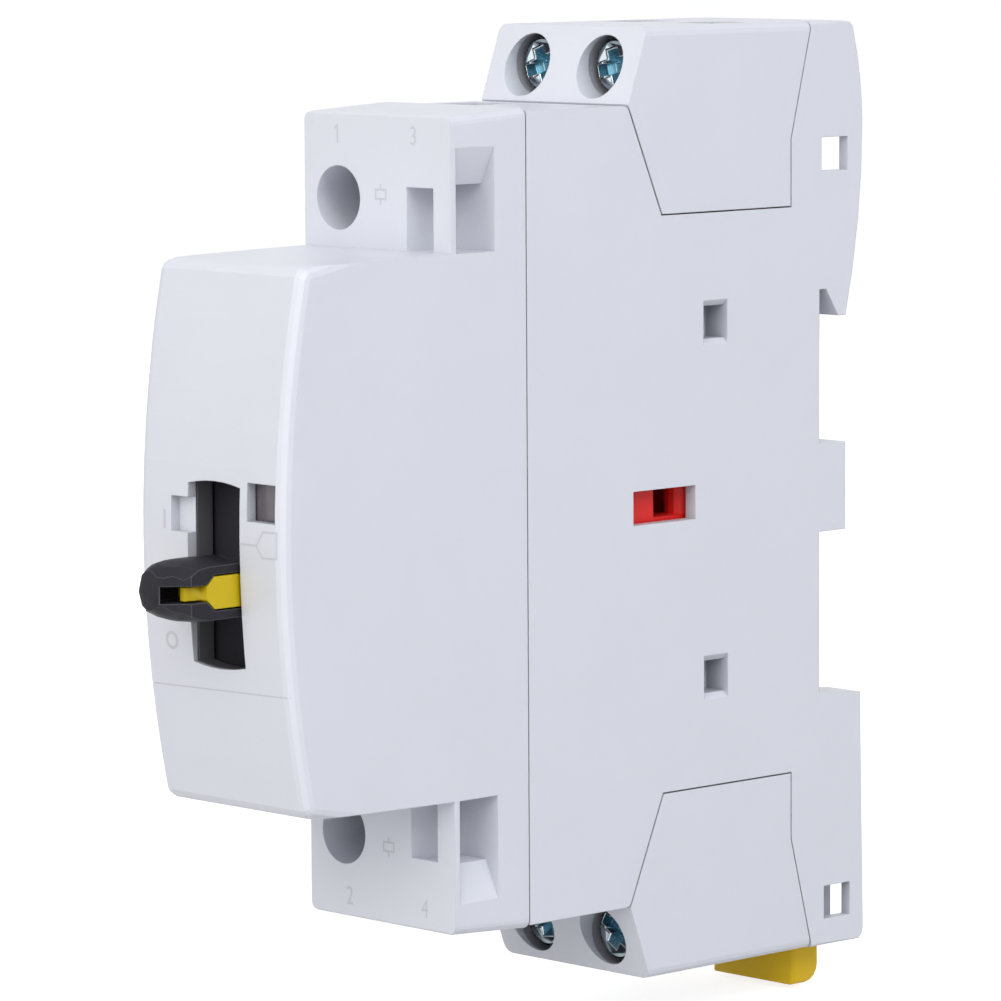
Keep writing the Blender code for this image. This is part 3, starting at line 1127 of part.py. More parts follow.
def build():
    """Make every piece of the contactor."""
    clear_scene()
    white = finish("pale_plastic", (0.80, 0.81, 0.85), 0.45)
    black = finish("black_plastic", (0.026, 0.025, 0.032), 0.45)
    yellow = finish("yellow_plastic", (0.75, 0.52, 0.03), 0.40)
    red = finish("red_plastic", (0.55, 0.04, 0.04), 0.40)
    smoke = finish("smoked_pane", (0.13, 0.12, 0.14), 0.25)
    zinc = finish("zinc_plate", (0.62, 0.68, 0.72), 0.28, 1.0)
    copper = finish("copper", (0.72, 0.40, 0.24), 0.35, 1.0)
    iron = finish("core_iron", (0.30, 0.30, 0.31), 0.45, 1.0)
    steel = finish("spring_steel", (0.55, 0.55, 0.56), 0.30, 1.0)
    former = finish("bobbin_plastic", (0.10, 0.10, 0.11), 0.55)
    wire = finish("winding_wire", (0.45, 0.16, 0.06), 0.35, 0.6)

    front_cover(white)
    base_housing(white)
    indicator_lens(smoke)
    selector_bezel(black)
    selector_lever(black)
    lever_lock(yellow)
    detent_spring(steel)
    magnet_yoke(iron)
    armature(iron)
    coil_bobbin(former)
    coil_winding(wire)
    contact_carrier(red)
    indicator_flag(red)
    din_clip(yellow)

    for label, side in (("upper", 1), ("lower", -1)):
        terminal_cap("terminal_cap_" + label, side, white)
        coil_centre = (COIL_TERMINAL_X, side * COIL_TERMINAL_Z)
        coil_strip("coil_strip_" + label, side, copper)
        clamp_screw("coil_screw_" + label, coil_centre, COIL_SCREW_Y, COIL_STRIP_Y - FIT_GAP,
                    COIL_HEAD_DIAMETER, COIL_HEAD, COIL_SHANK_DIAMETER, zinc)
        cage("coil_cage_" + label, coil_centre, COIL_CAGE_FRONT_Y, COIL_CAGE_DEPTH, COIL_CAGE_WIDTH,
             COIL_CAGE_LENGTH, COIL_CAGE_WALL, COIL_SHANK_DIAMETER + FIT_GAP, zinc)
        spring("return_spring_" + label, "Y", (0.0, side * RETURN_SPRING_Z), RETURN_SPRING_DIAMETER,
               RETURN_SPRING_WIRE, RETURN_SPRING_CURLS, SHOULDER_Y + RIB + FIT_GAP,
               CARRIER_PLATE_Y - FIT_GAP, steel)
        for pole, number in ((-1, 1), (1, 3)):
            mark = str(number if side > 0 else number + 1)
            centre = (pole * POLE_X, side * TERMINAL_Z)
            clamp_screw("terminal_screw_" + mark, centre, SCREW_FRONT_Y, BAR_Y - FIT_GAP,
                        SCREW_HEAD_DIAMETER, SCREW_HEAD, SCREW_SHANK_DIAMETER, zinc)
            cage("clamp_cage_" + mark, centre, CAGE_FRONT_Y, CAGE_DEPTH, CAGE_WIDTH, CAGE_LENGTH,
                 CAGE_WALL, SCREW_SHANK_DIAMETER + FIT_GAP, zinc)
            fixed_contact("fixed_contact_" + mark, pole, side, copper)

    for label, pole in (("left", -1), ("right", 1)):
        moving_bridge("moving_bridge_" + label, pole, copper)
        spring("contact_spring_" + label, "Y", (pole * POLE_X, 0.0), CONTACT_SPRING_DIAMETER,
               CONTACT_SPRING_WIRE, CONTACT_SPRING_CURLS, BRIDGE_Y + BRIDGE + FIT_GAP,
               CARRIER_REAR_Y - RIB - FIT_GAP, steel)
    spring("din_clip_spring", "Z", (0.0, CLIP_Y + CLIP_PLATE / 2), CLIP_SPRING_DIAMETER, CLIP_SPRING_WIRE,
           CLIP_SPRING_CURLS, CLIP_POST_Z + FIT_GAP, CLIP_WINDOW_TOP - FIT_GAP, steel)


build()
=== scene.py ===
"""Looks of a one-module rail contactor: finishes, screws, springs, printed marks and studio.

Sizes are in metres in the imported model's frame: X runs across the module, the nose points along -Y,
+Z is up, and the rail's front face lies in the plane Y = 0.
"""
import logging
import math
from dataclasses import asdict, dataclass, field
from enum import Enum
from typing import Iterable, Sequence

import bmesh
import bpy
from mathutils import Matrix, Vector
from mathutils.bvhtree import BVHTree


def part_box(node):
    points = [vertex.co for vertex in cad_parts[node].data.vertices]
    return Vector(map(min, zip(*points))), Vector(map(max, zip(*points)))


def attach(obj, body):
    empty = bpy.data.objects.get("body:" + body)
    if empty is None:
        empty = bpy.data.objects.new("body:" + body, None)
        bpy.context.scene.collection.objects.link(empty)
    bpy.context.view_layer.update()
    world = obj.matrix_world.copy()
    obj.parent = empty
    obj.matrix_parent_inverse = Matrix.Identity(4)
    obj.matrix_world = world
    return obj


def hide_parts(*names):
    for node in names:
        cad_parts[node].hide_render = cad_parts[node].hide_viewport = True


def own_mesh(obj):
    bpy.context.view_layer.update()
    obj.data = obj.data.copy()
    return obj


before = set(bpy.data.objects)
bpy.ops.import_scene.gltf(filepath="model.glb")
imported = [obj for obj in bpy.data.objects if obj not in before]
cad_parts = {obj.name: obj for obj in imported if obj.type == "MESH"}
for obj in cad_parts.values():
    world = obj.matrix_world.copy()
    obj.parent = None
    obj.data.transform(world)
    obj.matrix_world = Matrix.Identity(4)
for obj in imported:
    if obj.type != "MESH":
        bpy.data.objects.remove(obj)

log = logging.getLogger("contactor")

Colour = tuple[float, float, float]
CASING = "casing"
MM = 0.001
MIX_FIRST, MIX_SECOND, MIX_RESULT = 6, 7, 2  # the Mix node's colour sockets
EDGE_GAIN = 5.0
WHITE = (1.0, 1.0, 1.0, 1.0)


class Signal:
    """A node's socket that takes part in Python expressions."""

    def __init__(self, graph: "NodeTree", socket: bpy.types.NodeSocket) -> None:
        """Keep the socket and the graph that it belongs to."""
        self.graph = graph
        self.socket = socket

    def __add__(self, other: object) -> "Signal":
        """Sum of two values."""
        return self.graph.maths("ADD", self, other)

    def __sub__(self, other: object) -> "Signal":
        """Difference of two values."""
        return self.graph.maths("SUBTRACT", self, other)

    def __rsub__(self, other: object) -> "Signal":
        """Difference with the plain number on the left."""
        return self.graph.maths("SUBTRACT", other, self)

    def __mul__(self, other: object) -> "Signal":
        """Product of two values."""
        return self.graph.maths("MULTIPLY", self, other)

    def __pow__(self, other: object) -> "Signal":
        """Power of a value."""
        return self.graph.maths("POWER", self, other)

    __radd__ = __add__
    __rmul__ = __mul__


class NodeTree:
    """A node tree that is filled through its node method."""

    def __init__(self, tree: bpy.types.NodeTree) -> None:
        """Start with the tree empty."""
        self.tree = tree
        tree.nodes.clear()

    def node(self, kind: str, settings: dict | None = None, inputs: dict | None = None,
             output: int | str = 0) -> Signal:
        """Add a node.

        Args:
            kind: Blender's type name of the node.
            settings: Properties, which are set first.
            inputs: Values, signals or lists of signals by socket name or index.
            output: The wanted output's name or index.

        Returns:
            The chosen output.
        """
        made = self.tree.nodes.new(kind)
        for key, value in (settings or {}).items():
            setattr(made, key, value)
        for key, value in (inputs or {}).items():
            if isinstance(value, (Signal, list)):
                for signal in value if isinstance(value, list) else [value]:
                    self.tree.links.new(signal.socket, made.inputs[key])
            else:
                made.inputs[key].default_value = value
        return Signal(self, made.outputs[output])

    def maths(self, operation: str, first: object, second: object = 0.0, clamp: bool = False) -> Signal:
        """Add a Math node.

        Args:
            operation: Blender's name of the operation.
            first: First value or signal.
            second: Second value or signal.
            clamp: Whether the result is kept between 0 and 1.

        Returns:
            The node's result.
        """
        settings = {"operation": operation, "use_clamp": clamp}
        return self.node("ShaderNodeMath", settings, {0: first, 1: second})

    def node_output(self, shader: Signal, kind: str = "Material") -> None:
        """Link a shader to the output of a material or of the world."""
        made = self.tree.nodes.new("ShaderNodeOutput" + kind)
        self.tree.links.new(shader.socket, made.inputs["Surface"])

    def seen(self) -> Signal:
        """1 for rays from the camera, in reflections and through panes, and 0 for light."""
        camera, mirror, pane = (self.node("ShaderNodeLightPath", output=f"Is {kind} Ray")
                                for kind in ("Camera", "Glossy", "Transmission"))
        return self.maths("ADD", camera + mirror, pane, True)


class Graph(NodeTree):
    """The node tree of one material."""

    def __init__(self, name: str) -> None:
        """Start an empty material.

        Args:
            name: Name of the material.
        """
        self.material = bpy.data.materials.new(name)
        self.material.use_nodes = True
        super().__init__(self.material.node_tree)

    def place(self) -> Signal:
        """Object coordinates."""
        return self.node("ShaderNodeTexCoord", output="Object")

    def noise(self, size: float, detail: float = 3.0, stretch: Colour = (1.0, 1.0, 1.0)) -> Signal:
        """Soft noise with patches of a given size.

        Args:
            size: Size of a patch in metres.
            detail: Octaves.
            stretch: Factors on the coordinates before the noise.

        Returns:
            A value around one half.
        """
        spot = self.node("ShaderNodeMapping", {}, {"Vector": self.place(), "Scale": stretch})
        return self.node("ShaderNodeTexNoise", {}, {"Vector": spot, "Scale": 1.0 / size, "Detail": detail})

    def blend(self, factor: Signal, first: Colour | Signal, second: Colour | Signal) -> Signal:
        """Mix two colours by a factor.

        Args:
            factor: 0 for the first colour and 1 for the second.
            first: First colour.
            second: Second colour.

        Returns:
            The mixed colour.
        """
        pair = [colour if isinstance(colour, Signal) else (*colour, 1.0) for colour in (first, second)]
        return self.node("ShaderNodeMix", {"data_type": "RGBA"},
                         {"Factor": factor, MIX_FIRST: pair[0], MIX_SECOND: pair[1]}, MIX_RESULT)

    def attribute(self, name: str) -> Signal:
        """A value stored on the mesh, or 0 where it has none."""
        return self.node("ShaderNodeAttribute", {"attribute_name": name}, output="Fac")

    def cavity(self, reach: float) -> Signal:
        """Openness of the surface.

        Args:
            reach: Width of a recess that still counts as narrow, in metres.

        Returns:
            1 in the open and less in narrow recesses.
        """
        return self.node("ShaderNodeAmbientOcclusion", {"samples": 8}, {"Distance": reach}, "AO")

    def edges(self, radius: float) -> Signal:
        """Nearness to an edge.

        Args:
            radius: Width of the edge's zone in metres.

        Returns:
            0 on flat surfaces, rising towards 1 at edges.
        """
        soft = self.node("ShaderNodeBevel", {"samples": 6}, {"Radius": radius})
        flat = self.node("ShaderNodeNewGeometry", output="Normal")
        likeness = self.node("ShaderNodeVectorMath", {"operation": "DOT_PRODUCT"}, {0: soft, 1: flat},
                             "Value")
        return self.maths("MULTIPLY", 1.0 - likeness, EDGE_GAIN, True)

    def dimmed(self, colour: Signal, factor: Signal) -> Signal:
        """A colour made darker by a factor that changes over the surface."""
        return self.node("ShaderNodeVectorMath", {"operation": "SCALE"}, {0: colour, "Scale": factor})

    def relief(self, height: Signal, depth: float, edge: float = 0.0) -> Signal:
        """Surface normal from a height field, over edges that read as rounded.

        Args:
            height: Height from 0 to 1.
            depth: Height of 1 in metres.
            edge: Radius of the rounding that edges show, or 0.

        Returns:
            The normal.
        """
        inputs = {"Height": height, "Distance": depth, "Strength": 1.0}
        if edge:
            inputs["Normal"] = self.node("ShaderNodeBevel", {"samples": 4}, {"Radius": edge})
        return self.node("ShaderNodeBump", {}, inputs)

    def surface(self, inputs: dict) -> bpy.types.Material:
        """End the graph in a Principled shader.

        Args:
            inputs: Values or signals by socket name.

        Returns:
            The finished material.
        """
        shader = self.node("ShaderNodeBsdfPrincipled", {}, inputs)
        self.node_output(shader)
        return self.material


def toned(colour: Colour, factor: float) -> Colour:
    """A colour made lighter or darker by a factor."""
    return tuple(min(1.0, part * factor) for part in colour)


@dataclass(frozen=True)
class MouldedPlastic:
    """Injection-moulded plastic with spark-eroded grain, faint flow marks and soft edges, and where set,
    painted shade in recesses and painted highlights along edges.
    """

    name: str
    colour: Colour
    roughness: float
    grain: float = 0.012 * MM
    grain_size: float = 0.16 * MM
    mottle: float = 0.02
    edge: float = 0.12 * MM
    specular: float = 0.5
    grime: float = 0.0
    recess: float = 5.0 * MM
    falloff: float = 2.5
    wear: float = 0.0
    polished: Colour = (0.30, 0.30, 0.31)
    cloud_size: float = 9 * MM
    flow_size: float = 5 * MM
    flow_stretch: Colour = (1.0, 1.0, 0.25)

    def material(self) -> bpy.types.Material:
        """Build the material."""
        graph = Graph(self.name)
        clouds = graph.noise(self.cloud_size, 2.0)
        flow = graph.noise(self.flow_size, 3.0, self.flow_stretch)
        fine = graph.noise(self.grain_size, 2.0)
        cells = graph.node("ShaderNodeTexVoronoi", {},
                           {"Vector": graph.place(), "Scale": 0.6 / self.grain_size})
        tone = graph.blend(clouds, toned(self.colour, 1 - self.mottle), toned(self.colour, 1 + self.mottle))
        # painted shade: ambient occlusion darkens the colour in narrow recesses, where shade falls
        if self.grime:
            closed = (1.0 - graph.cavity(self.recess)) ** self.falloff
            tone = graph.dimmed(tone, 1.0 - self.grime * closed)
        # painted highlight: the colour near edges is blended towards a lighter grey, standing in for light
        # caught by rounded edges
        if self.wear:
            tone = graph.blend(self.wear * graph.edges(self.edge), tone, self.polished)
        rough = self.roughness - 0.05 + 0.06 * flow + 0.06 * fine
        height = 0.7 * fine + 0.3 * cells
        return graph.surface({"Base Color": tone, "Roughness": rough, "Specular IOR Level": self.specular,
                              "Normal": graph.relief(height, self.grain, self.edge)})


@dataclass(frozen=True)
class PlatedSteel:
    """Plated metal with fine turning marks, dull spots, tinted recesses, a painted shade on the rim and
    painted highlights on the chamfers.
    """

    name: str
    bright: Colour
    tint: Colour
    roughness: float
    edge: float = 0.08 * MM
    # colour of the painted shade on the head's rim
    rim: Colour = (0.03, 0.032, 0.036)
    worn: Colour = (0.93, 0.94, 0.95)
    streak: Colour = (1.0, 8.0, 1.0)
    patch_size: float = 1.6 * MM
    mark_size: float = 0.5 * MM
    mark_depth: float = 0.006 * MM
    spot_size: float = 0.25 * MM

    def material(self) -> bpy.types.Material:
        """Build the material."""
        graph = Graph(self.name)
        patches = graph.noise(self.patch_size, 3.0)
        marks = graph.noise(self.mark_size, 4.0, self.streak)
        spots = graph.noise(self.spot_size, 1.0) ** 3.0
        plate = graph.blend(0.3 * patches + 0.9 * graph.attribute("recess"), self.bright, self.tint)
        # painted highlight: chamfer faces are blended towards near white
        face = graph.blend(graph.attribute("chamfer"), plate, self.worn)
        # painted shade: rim faces are blended towards near black
        tone = graph.blend(graph.attribute("rim"), face, self.rim)
        rough = self.roughness - 0.08 + 0.16 * marks + 0.1 * spots
        return graph.surface({"Base Color": tone, "Roughness": rough, "Metallic": 1.0,
                              "Normal": graph.relief(marks, self.mark_depth, self.edge)})


@dataclass(frozen=True)
class SmokedPane:
    """Tinted window pane with a polished face over a dark inside."""

    name: str
    colour: Colour
    roughness: float

    def material(self) -> bpy.types.Material:
        """Build the material."""
        graph = Graph(self.name)
        haze = graph.noise(1.2 * MM, 2.0)
        tone = graph.blend(haze, toned(self.colour, 0.82), toned(self.colour, 1.2))
        return graph.surface({"Base Color": tone, "Roughness": self.roughness + 0.08 * haze,
                              "Coat Weight": 0.4, "Coat Roughness": 0.08,
                              "Normal": graph.relief(haze, 0.004 * MM)})


@dataclass(frozen=True)
class PrintedInk:
    """Thin pad-printed ink with slightly uneven cover."""

    name: str
    colour: Colour

    def material(self) -> bpy.types.Material:
        """Build the material."""
        graph = Graph(self.name)
        cover = graph.noise(0.2 * MM, 3.0)
        tone = graph.blend(cover, toned(self.colour, 0.92), toned(self.colour, 1.1))
        return graph.surface({"Base Color": tone, "Roughness": 0.5 + 0.2 * cover,
                              "Normal": graph.relief(cover, 0.004 * MM)})


@dataclass(frozen=True)
class LaminatedIron:
    """Stack of punched sheets with bright and dull edges."""

    name: str
    colour: Colour
    sheet: float = 0.5 * MM

    def material(self) -> bpy.types.Material:
        """Build the material."""
        graph = Graph(self.name)
        bands = graph.node("ShaderNodeTexWave", {"bands_direction": "X"},
                           {"Vector": graph.place(), "Scale": 0.314 / self.sheet, "Distortion": 0.4}, "Fac")
        stain = graph.noise(3 * MM, 4.0)
        tone = graph.blend(bands * 0.6 + stain * 0.4, toned(self.colour, 0.55), toned(self.colour, 1.3))
        return graph.surface({"Base Color": tone, "Roughness": 0.35 + 0.3 * stain, "Metallic": 1.0,
                              "Normal": graph.relief(bands, 0.03 * MM)})


@dataclass(frozen=True)
class WoundWire:
    """Enamelled wire laid in close turns."""

    name: str
    colour: Colour
    wire: float = 0.25 * MM

    def material(self) -> bpy.types.Material:
        """Build the material."""
        graph = Graph(self.name)
        turns = graph.node("ShaderNodeTexWave", {"bands_direction": "Y"},
                           {"Vector": graph.place(), "Scale": 0.314 / self.wire, "Distortion": 0.6}, "Fac")
        tone = graph.blend(turns, toned(self.colour, 0.35), toned(self.colour, 1.2))
        return graph.surface({"Base Color": tone, "Roughness": 0.25 + 0.2 * turns, "Metallic": 0.6,
                              "Normal": graph.relief(turns, 0.1 * MM)})


class Finish(Enum):
    """Every finish on the contactor."""

    # CASE paints shade into its recesses through grime
    CASE = MouldedPlastic("case_white", (0.740, 0.752, 0.825), 0.42, grime=0.62)
    # BLACK and BEZEL paint a highlight along their edges through wear
    BLACK = MouldedPlastic("selector_black", (0.026, 0.025, 0.032), 0.50, grain=0.02 * MM, mottle=0.12,
                           edge=0.14 * MM, specular=0.12, wear=0.45)
    BEZEL = MouldedPlastic("bezel_grey", (0.13, 0.125, 0.135), 0.40, mottle=0.10, edge=0.16 * MM, wear=0.5)
    YELLOW = MouldedPlastic("lock_yellow", (0.62, 0.45, 0.008), 0.40, mottle=0.05, specular=0.3)
    AMBER = MouldedPlastic("clip_yellow", (0.92, 0.60, 0.014), 0.42, mottle=0.05, specular=0.3)
    RED = MouldedPlastic("carrier_red", (0.82, 0.022, 0.018), 0.38, mottle=0.06, specular=0.3)
    FORMER = MouldedPlastic("bobbin_grey", (0.08, 0.08, 0.09), 0.5, mottle=0.06)
    PANE = SmokedPane("indicator_pane", (0.12, 0.105, 0.125), 0.22)
    ZINC = PlatedSteel("zinc_plate", (0.26, 0.275, 0.295), (0.26, 0.48, 0.58), 0.22)
    WIRE = PlatedSteel("spring_wire", (0.62, 0.62, 0.63), (0.48, 0.48, 0.50), 0.26)
    COPPER = PlatedSteel("contact_copper", (0.76, 0.43, 0.28), (0.62, 0.30, 0.17), 0.30)
    IRON = LaminatedIron("core_iron", (0.34, 0.34, 0.35))
    COIL = WoundWire("coil_wire", (0.42, 0.13, 0.05))
    INK = PrintedInk("grey_ink", (0.60, 0.61, 0.67))


class Wardrobe:
    """Makes each finish once and hands it out."""

    def __init__(self) -> None:
        """Start with no material made."""
        self._made: dict[Finish, bpy.types.Material] = {}

    def get(self, finish: Finish) -> bpy.types.Material:
        """Material of a finish.

        Args:
            finish: The wanted finish.

        Returns:
            The one material of that finish.
        """
        if finish not in self._made:
            self._made[finish] = finish.value.material()
        return self._made[finish]


def link(name: str, mesh: bpy.types.Mesh) -> bpy.types.Object:
    """Put a mesh into the scene as an object at the origin.

    Args:
        name: Name of the piece.
        mesh: Its mesh, in the frame's coordinates.

    Returns:
        The new object.
    """
    piece = bpy.data.objects.new(name, mesh)
    bpy.context.scene.collection.objects.link(piece)
    return piece


def bake(piece: bpy.types.Object) -> None:
    """Turn a piece's modifiers into plain mesh.

    Args:
        piece: Object with modifiers.
    """
    evaluated = piece.evaluated_get(bpy.context.evaluated_depsgraph_get())
    mesh = bpy.data.meshes.new_from_object(evaluated)
    piece.modifiers.clear()
    piece.data = mesh


class Shape(NodeTree):
    """A Geometry Nodes tree with named sizes."""

    def __init__(self, name: str) -> None:
        """Start an empty tree.

        Args:
            name: Name of the tree.
        """
        super().__init__(bpy.data.node_groups.new(name, "GeometryNodeTree"))
        self.tree.interface.new_socket("Geometry", in_out="OUTPUT", socket_type="NodeSocketGeometry")
        self.entry = self.tree.nodes.new("NodeGroupInput")
        self.keys: dict[str, str] = {}

    def size(self, name: str, kind: str = "Float") -> Signal:
        """Add a named input.

        Args:
            name: Name of the input.
            kind: Float or Vector.

        Returns:
            The input's value inside the tree.
        """
        item = self.tree.interface.new_socket(name, in_out="INPUT", socket_type="NodeSocket" + kind)
        self.keys[name] = item.identifier
        return Signal(self, self.entry.outputs[name])

    def vector(self, x: object = 0.0, y: object = 0.0, z: object = 0.0) -> Signal:
        """Vector from three values or signals."""
        return self.node("ShaderNodeCombineXYZ", {}, {0: x, 1: y, 2: z})

    def moved(self, geometry: Signal, shift: object = (0, 0, 0), turn: object = (0, 0, 0),
              scale: object = (1, 1, 1)) -> Signal:
        """Scale, turn and shift a geometry, in that order.

        Args:
            geometry: What is moved.
            shift: Translation.
            turn: Rotation in radians.
            scale: Factors along the axes.

        Returns:
            The moved geometry.
        """
        return self.node("GeometryNodeTransform", {},
                         {"Geometry": geometry, "Translation": shift, "Rotation": turn, "Scale": scale})

    def frustum(self, low: object, high: object, depth: object, base: object, sides: int) -> Signal:
        """Round or square frustum that stands on a level.

        Args:
            low: Radius at the base.
            high: Radius at the top.
            depth: Height.
            base: Level of the base.
            sides: Number of sides.

        Returns:
            The frustum's mesh.
        """
        solid = self.node("GeometryNodeMeshCone", {}, {
            "Vertices": sides, "Radius Top": high, "Radius Bottom": low, "Depth": depth})
        return self.moved(solid, self.vector(z=base))

    def close(self, geometry: Signal, material: bpy.types.Material) -> None:
        """End the tree in real geometry of one material.

        Args:
            geometry: The finished geometry.
            material: Its finish.
        """
        real = self.node("GeometryNodeRealizeInstances", {}, {"Geometry": geometry})
        dressed = self.node("GeometryNodeSetMaterial", {}, {"Geometry": real, "Material": material})
        out = self.tree.nodes.new("NodeGroupOutput")
        self.tree.links.new(dressed.socket, out.inputs[0])

    def grow(self, name: str, values: dict[str, object], sharp: float = 35.0) -> bpy.types.Object:
        """Run the tree and keep its result as a plain mesh.

        Args:
            name: Name of the new piece.
            values: Value of each named input.
            sharp: Angle in degrees from which an edge stays sharp.

        Returns:
            The piece.
        """
        piece = link(name, bpy.data.meshes.new(name))
        modifier = piece.modifiers.new("shape", "NODES")
        modifier.node_group = self.tree
        for key, value in values.items():
            modifier[self.keys[key]] = value
        bake(piece)
        piece.data.shade_smooth()
        piece.data.set_sharp_from_angle(angle=math.radians(sharp))
        return piece


def seat(piece: bpy.types.Object, body: str, nodes: Iterable[str] = ()) -> None:
    """Fix a finished piece to a body and hide the CAD nodes that it replaces.

    Args:
        piece: The finished piece.
        body: Name of the body that carries it.
        nodes: CAD nodes that it replaces.
    """
    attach(piece, body)
    for node in nodes:
        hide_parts(node)
    log.info("%s rides on %s", piece.name, body)


def merged_copy(node: str, name: str, material: bpy.types.Material, sharp: float) -> bpy.types.Object:
    """Copy a CAD node with shared corners and smooth rounds.

    Args:
        node: Name of the CAD node.
        name: Name of the new piece.
        material: Its finish.
        sharp: Angle in degrees from which an edge stays sharp.

    Returns:
        The new piece.
    """
    shape = bmesh.new()
    shape.from_mesh(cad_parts[node].data)
    bmesh.ops.remove_doubles(shape, verts=shape.verts, dist=0.002 * MM)
    mesh = bpy.data.meshes.new(name)
    shape.to_mesh(mesh)
    shape.free()
    mesh.materials.clear()
    mesh.materials.append(material)
    mesh.shade_smooth()
    mesh.set_sharp_from_angle(angle=math.radians(sharp))
    return link(name, mesh)


def carve(piece: bpy.types.Object, outline: list[tuple[float, float]], bottom: float, top: float,
          operation: str = "DIFFERENCE") -> None:
    """Cut an upright prism away from a piece, or add it.

    Args:
        piece: The piece.
        outline: Corners of the prism in plan, as X and Y.
        bottom: Lowest level of the prism.
        top: Highest level of the prism.
        operation: DIFFERENCE or UNION.
    """
    shape = bmesh.new()
    lower = [shape.verts.new((x, y, bottom)) for x, y in outline]
    upper = [shape.verts.new((x, y, top)) for x, y in outline]
    shape.faces.new(lower)
    shape.faces.new(upper)
    for i in range(len(outline)):
        j = (i + 1) % len(outline)
        shape.faces.new((lower[i], lower[j], upper[j], upper[i]))
    bmesh.ops.recalc_face_normals(shape, faces=shape.faces)
    mesh = bpy.data.meshes.new("carve")
    shape.to_mesh(mesh)
    shape.free()
    mesh.materials.append(piece.data.materials[0])
    tool = link("carve", mesh)
    modifier = piece.modifiers.new("carve", "BOOLEAN")
    modifier.operation = operation
    modifier.solver = "EXACT"
    modifier.object = tool
    bake(piece)
    bpy.data.objects.remove(tool)


@dataclass
class Mouldings:
    """Nodes whose CAD shape stays as it is and only takes a finish."""

    wardrobe: Wardrobe

    def build(self) -> None:
        """Dress the nodes by the start of their names."""
        rules = {
            "front_cover": Finish.CASE, "base_housing": Finish.CASE, "terminal_cap": Finish.CASE,
            "selector_lever": Finish.BLACK, "selector_bezel": Finish.BEZEL,
            "lever_lock": Finish.YELLOW, "din_clip": Finish.AMBER,
            "contact_carrier": Finish.RED, "indicator_flag": Finish.RED, "indicator_lens": Finish.PANE,
            "terminal_screw": Finish.ZINC, "coil_screw": Finish.ZINC, "clamp_cage": Finish.ZINC,
            "coil_cage": Finish.ZINC, "fixed_contact": Finish.COPPER, "moving_bridge": Finish.COPPER,
            "coil_strip": Finish.COPPER, "magnet_yoke": Finish.IRON, "armature": Finish.IRON,
            "coil_bobbin": Finish.FORMER, "coil_winding": Finish.COIL, "detent_spring": Finish.WIRE,
            "return_spring": Finish.WIRE, "contact_spring": Finish.WIRE, "din_clip_spring": Finish.WIRE,
        }
        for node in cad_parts:
            fits = [start for start in rules if node.startswith(start)]
            if fits:
                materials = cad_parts[node].data.materials
                materials.clear()
                materials.append(self.wardrobe.get(rules[max(fits, key=len)]))


@dataclass
class RailClip:
    """Yellow rail clip, with the rounded edges of its pull tab."""

    wardrobe: Wardrobe
    rounding: float = 0.9 * MM
    segments: int = 5
    clear_of_case: float = 0.3 * MM
    slack: float = 0.02 * MM
    sharp: float = 30.0

    def build(self) -> None:
        """Round the side edges of the tab on a copy of the clip's node."""
        piece = merged_copy("din_clip", "rounded_din_clip", self.wardrobe.get(Finish.AMBER), self.sharp)
        shape = bmesh.new()
        shape.from_mesh(piece.data)
        bmesh.ops.dissolve_limit(shape, angle_limit=math.radians(1.0), verts=shape.verts, edges=shape.edges)
        tab_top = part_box("base_housing")[0].z - self.clear_of_case
        side = max(abs(corner.co.x) for corner in shape.verts if corner.co.z < tab_top)
        chosen = [edge for edge in shape.edges if self.on_side(edge, side, tab_top)]
        bmesh.ops.bevel(shape, geom=chosen, offset=self.rounding, segments=self.segments, profile=0.5,
                        affect="EDGES", clamp_overlap=True)
        shape.to_mesh(piece.data)
        shape.free()
        piece.data.shade_smooth()
        piece.data.set_sharp_from_angle(angle=math.radians(self.sharp))
        seat(piece, "rail_clip", ["din_clip"])

    def on_side(self, edge: bmesh.types.BMEdge, side: float, top: float) -> bool:
        """Whether an edge of the tab lies in one of its side faces.

        Args:
            edge: The edge.
            side: Half of the tab's width.
            top: Level above which the tab ends.

        Returns:
            True for an edge that is rounded.
        """
        first, second = (corner.co for corner in edge.verts)
        near = all(abs(abs(spot.x) - side) < self.slack for spot in (first, second))
        return near and min(first.z, second.z) <= top and abs(first.x - second.x) < self.slack


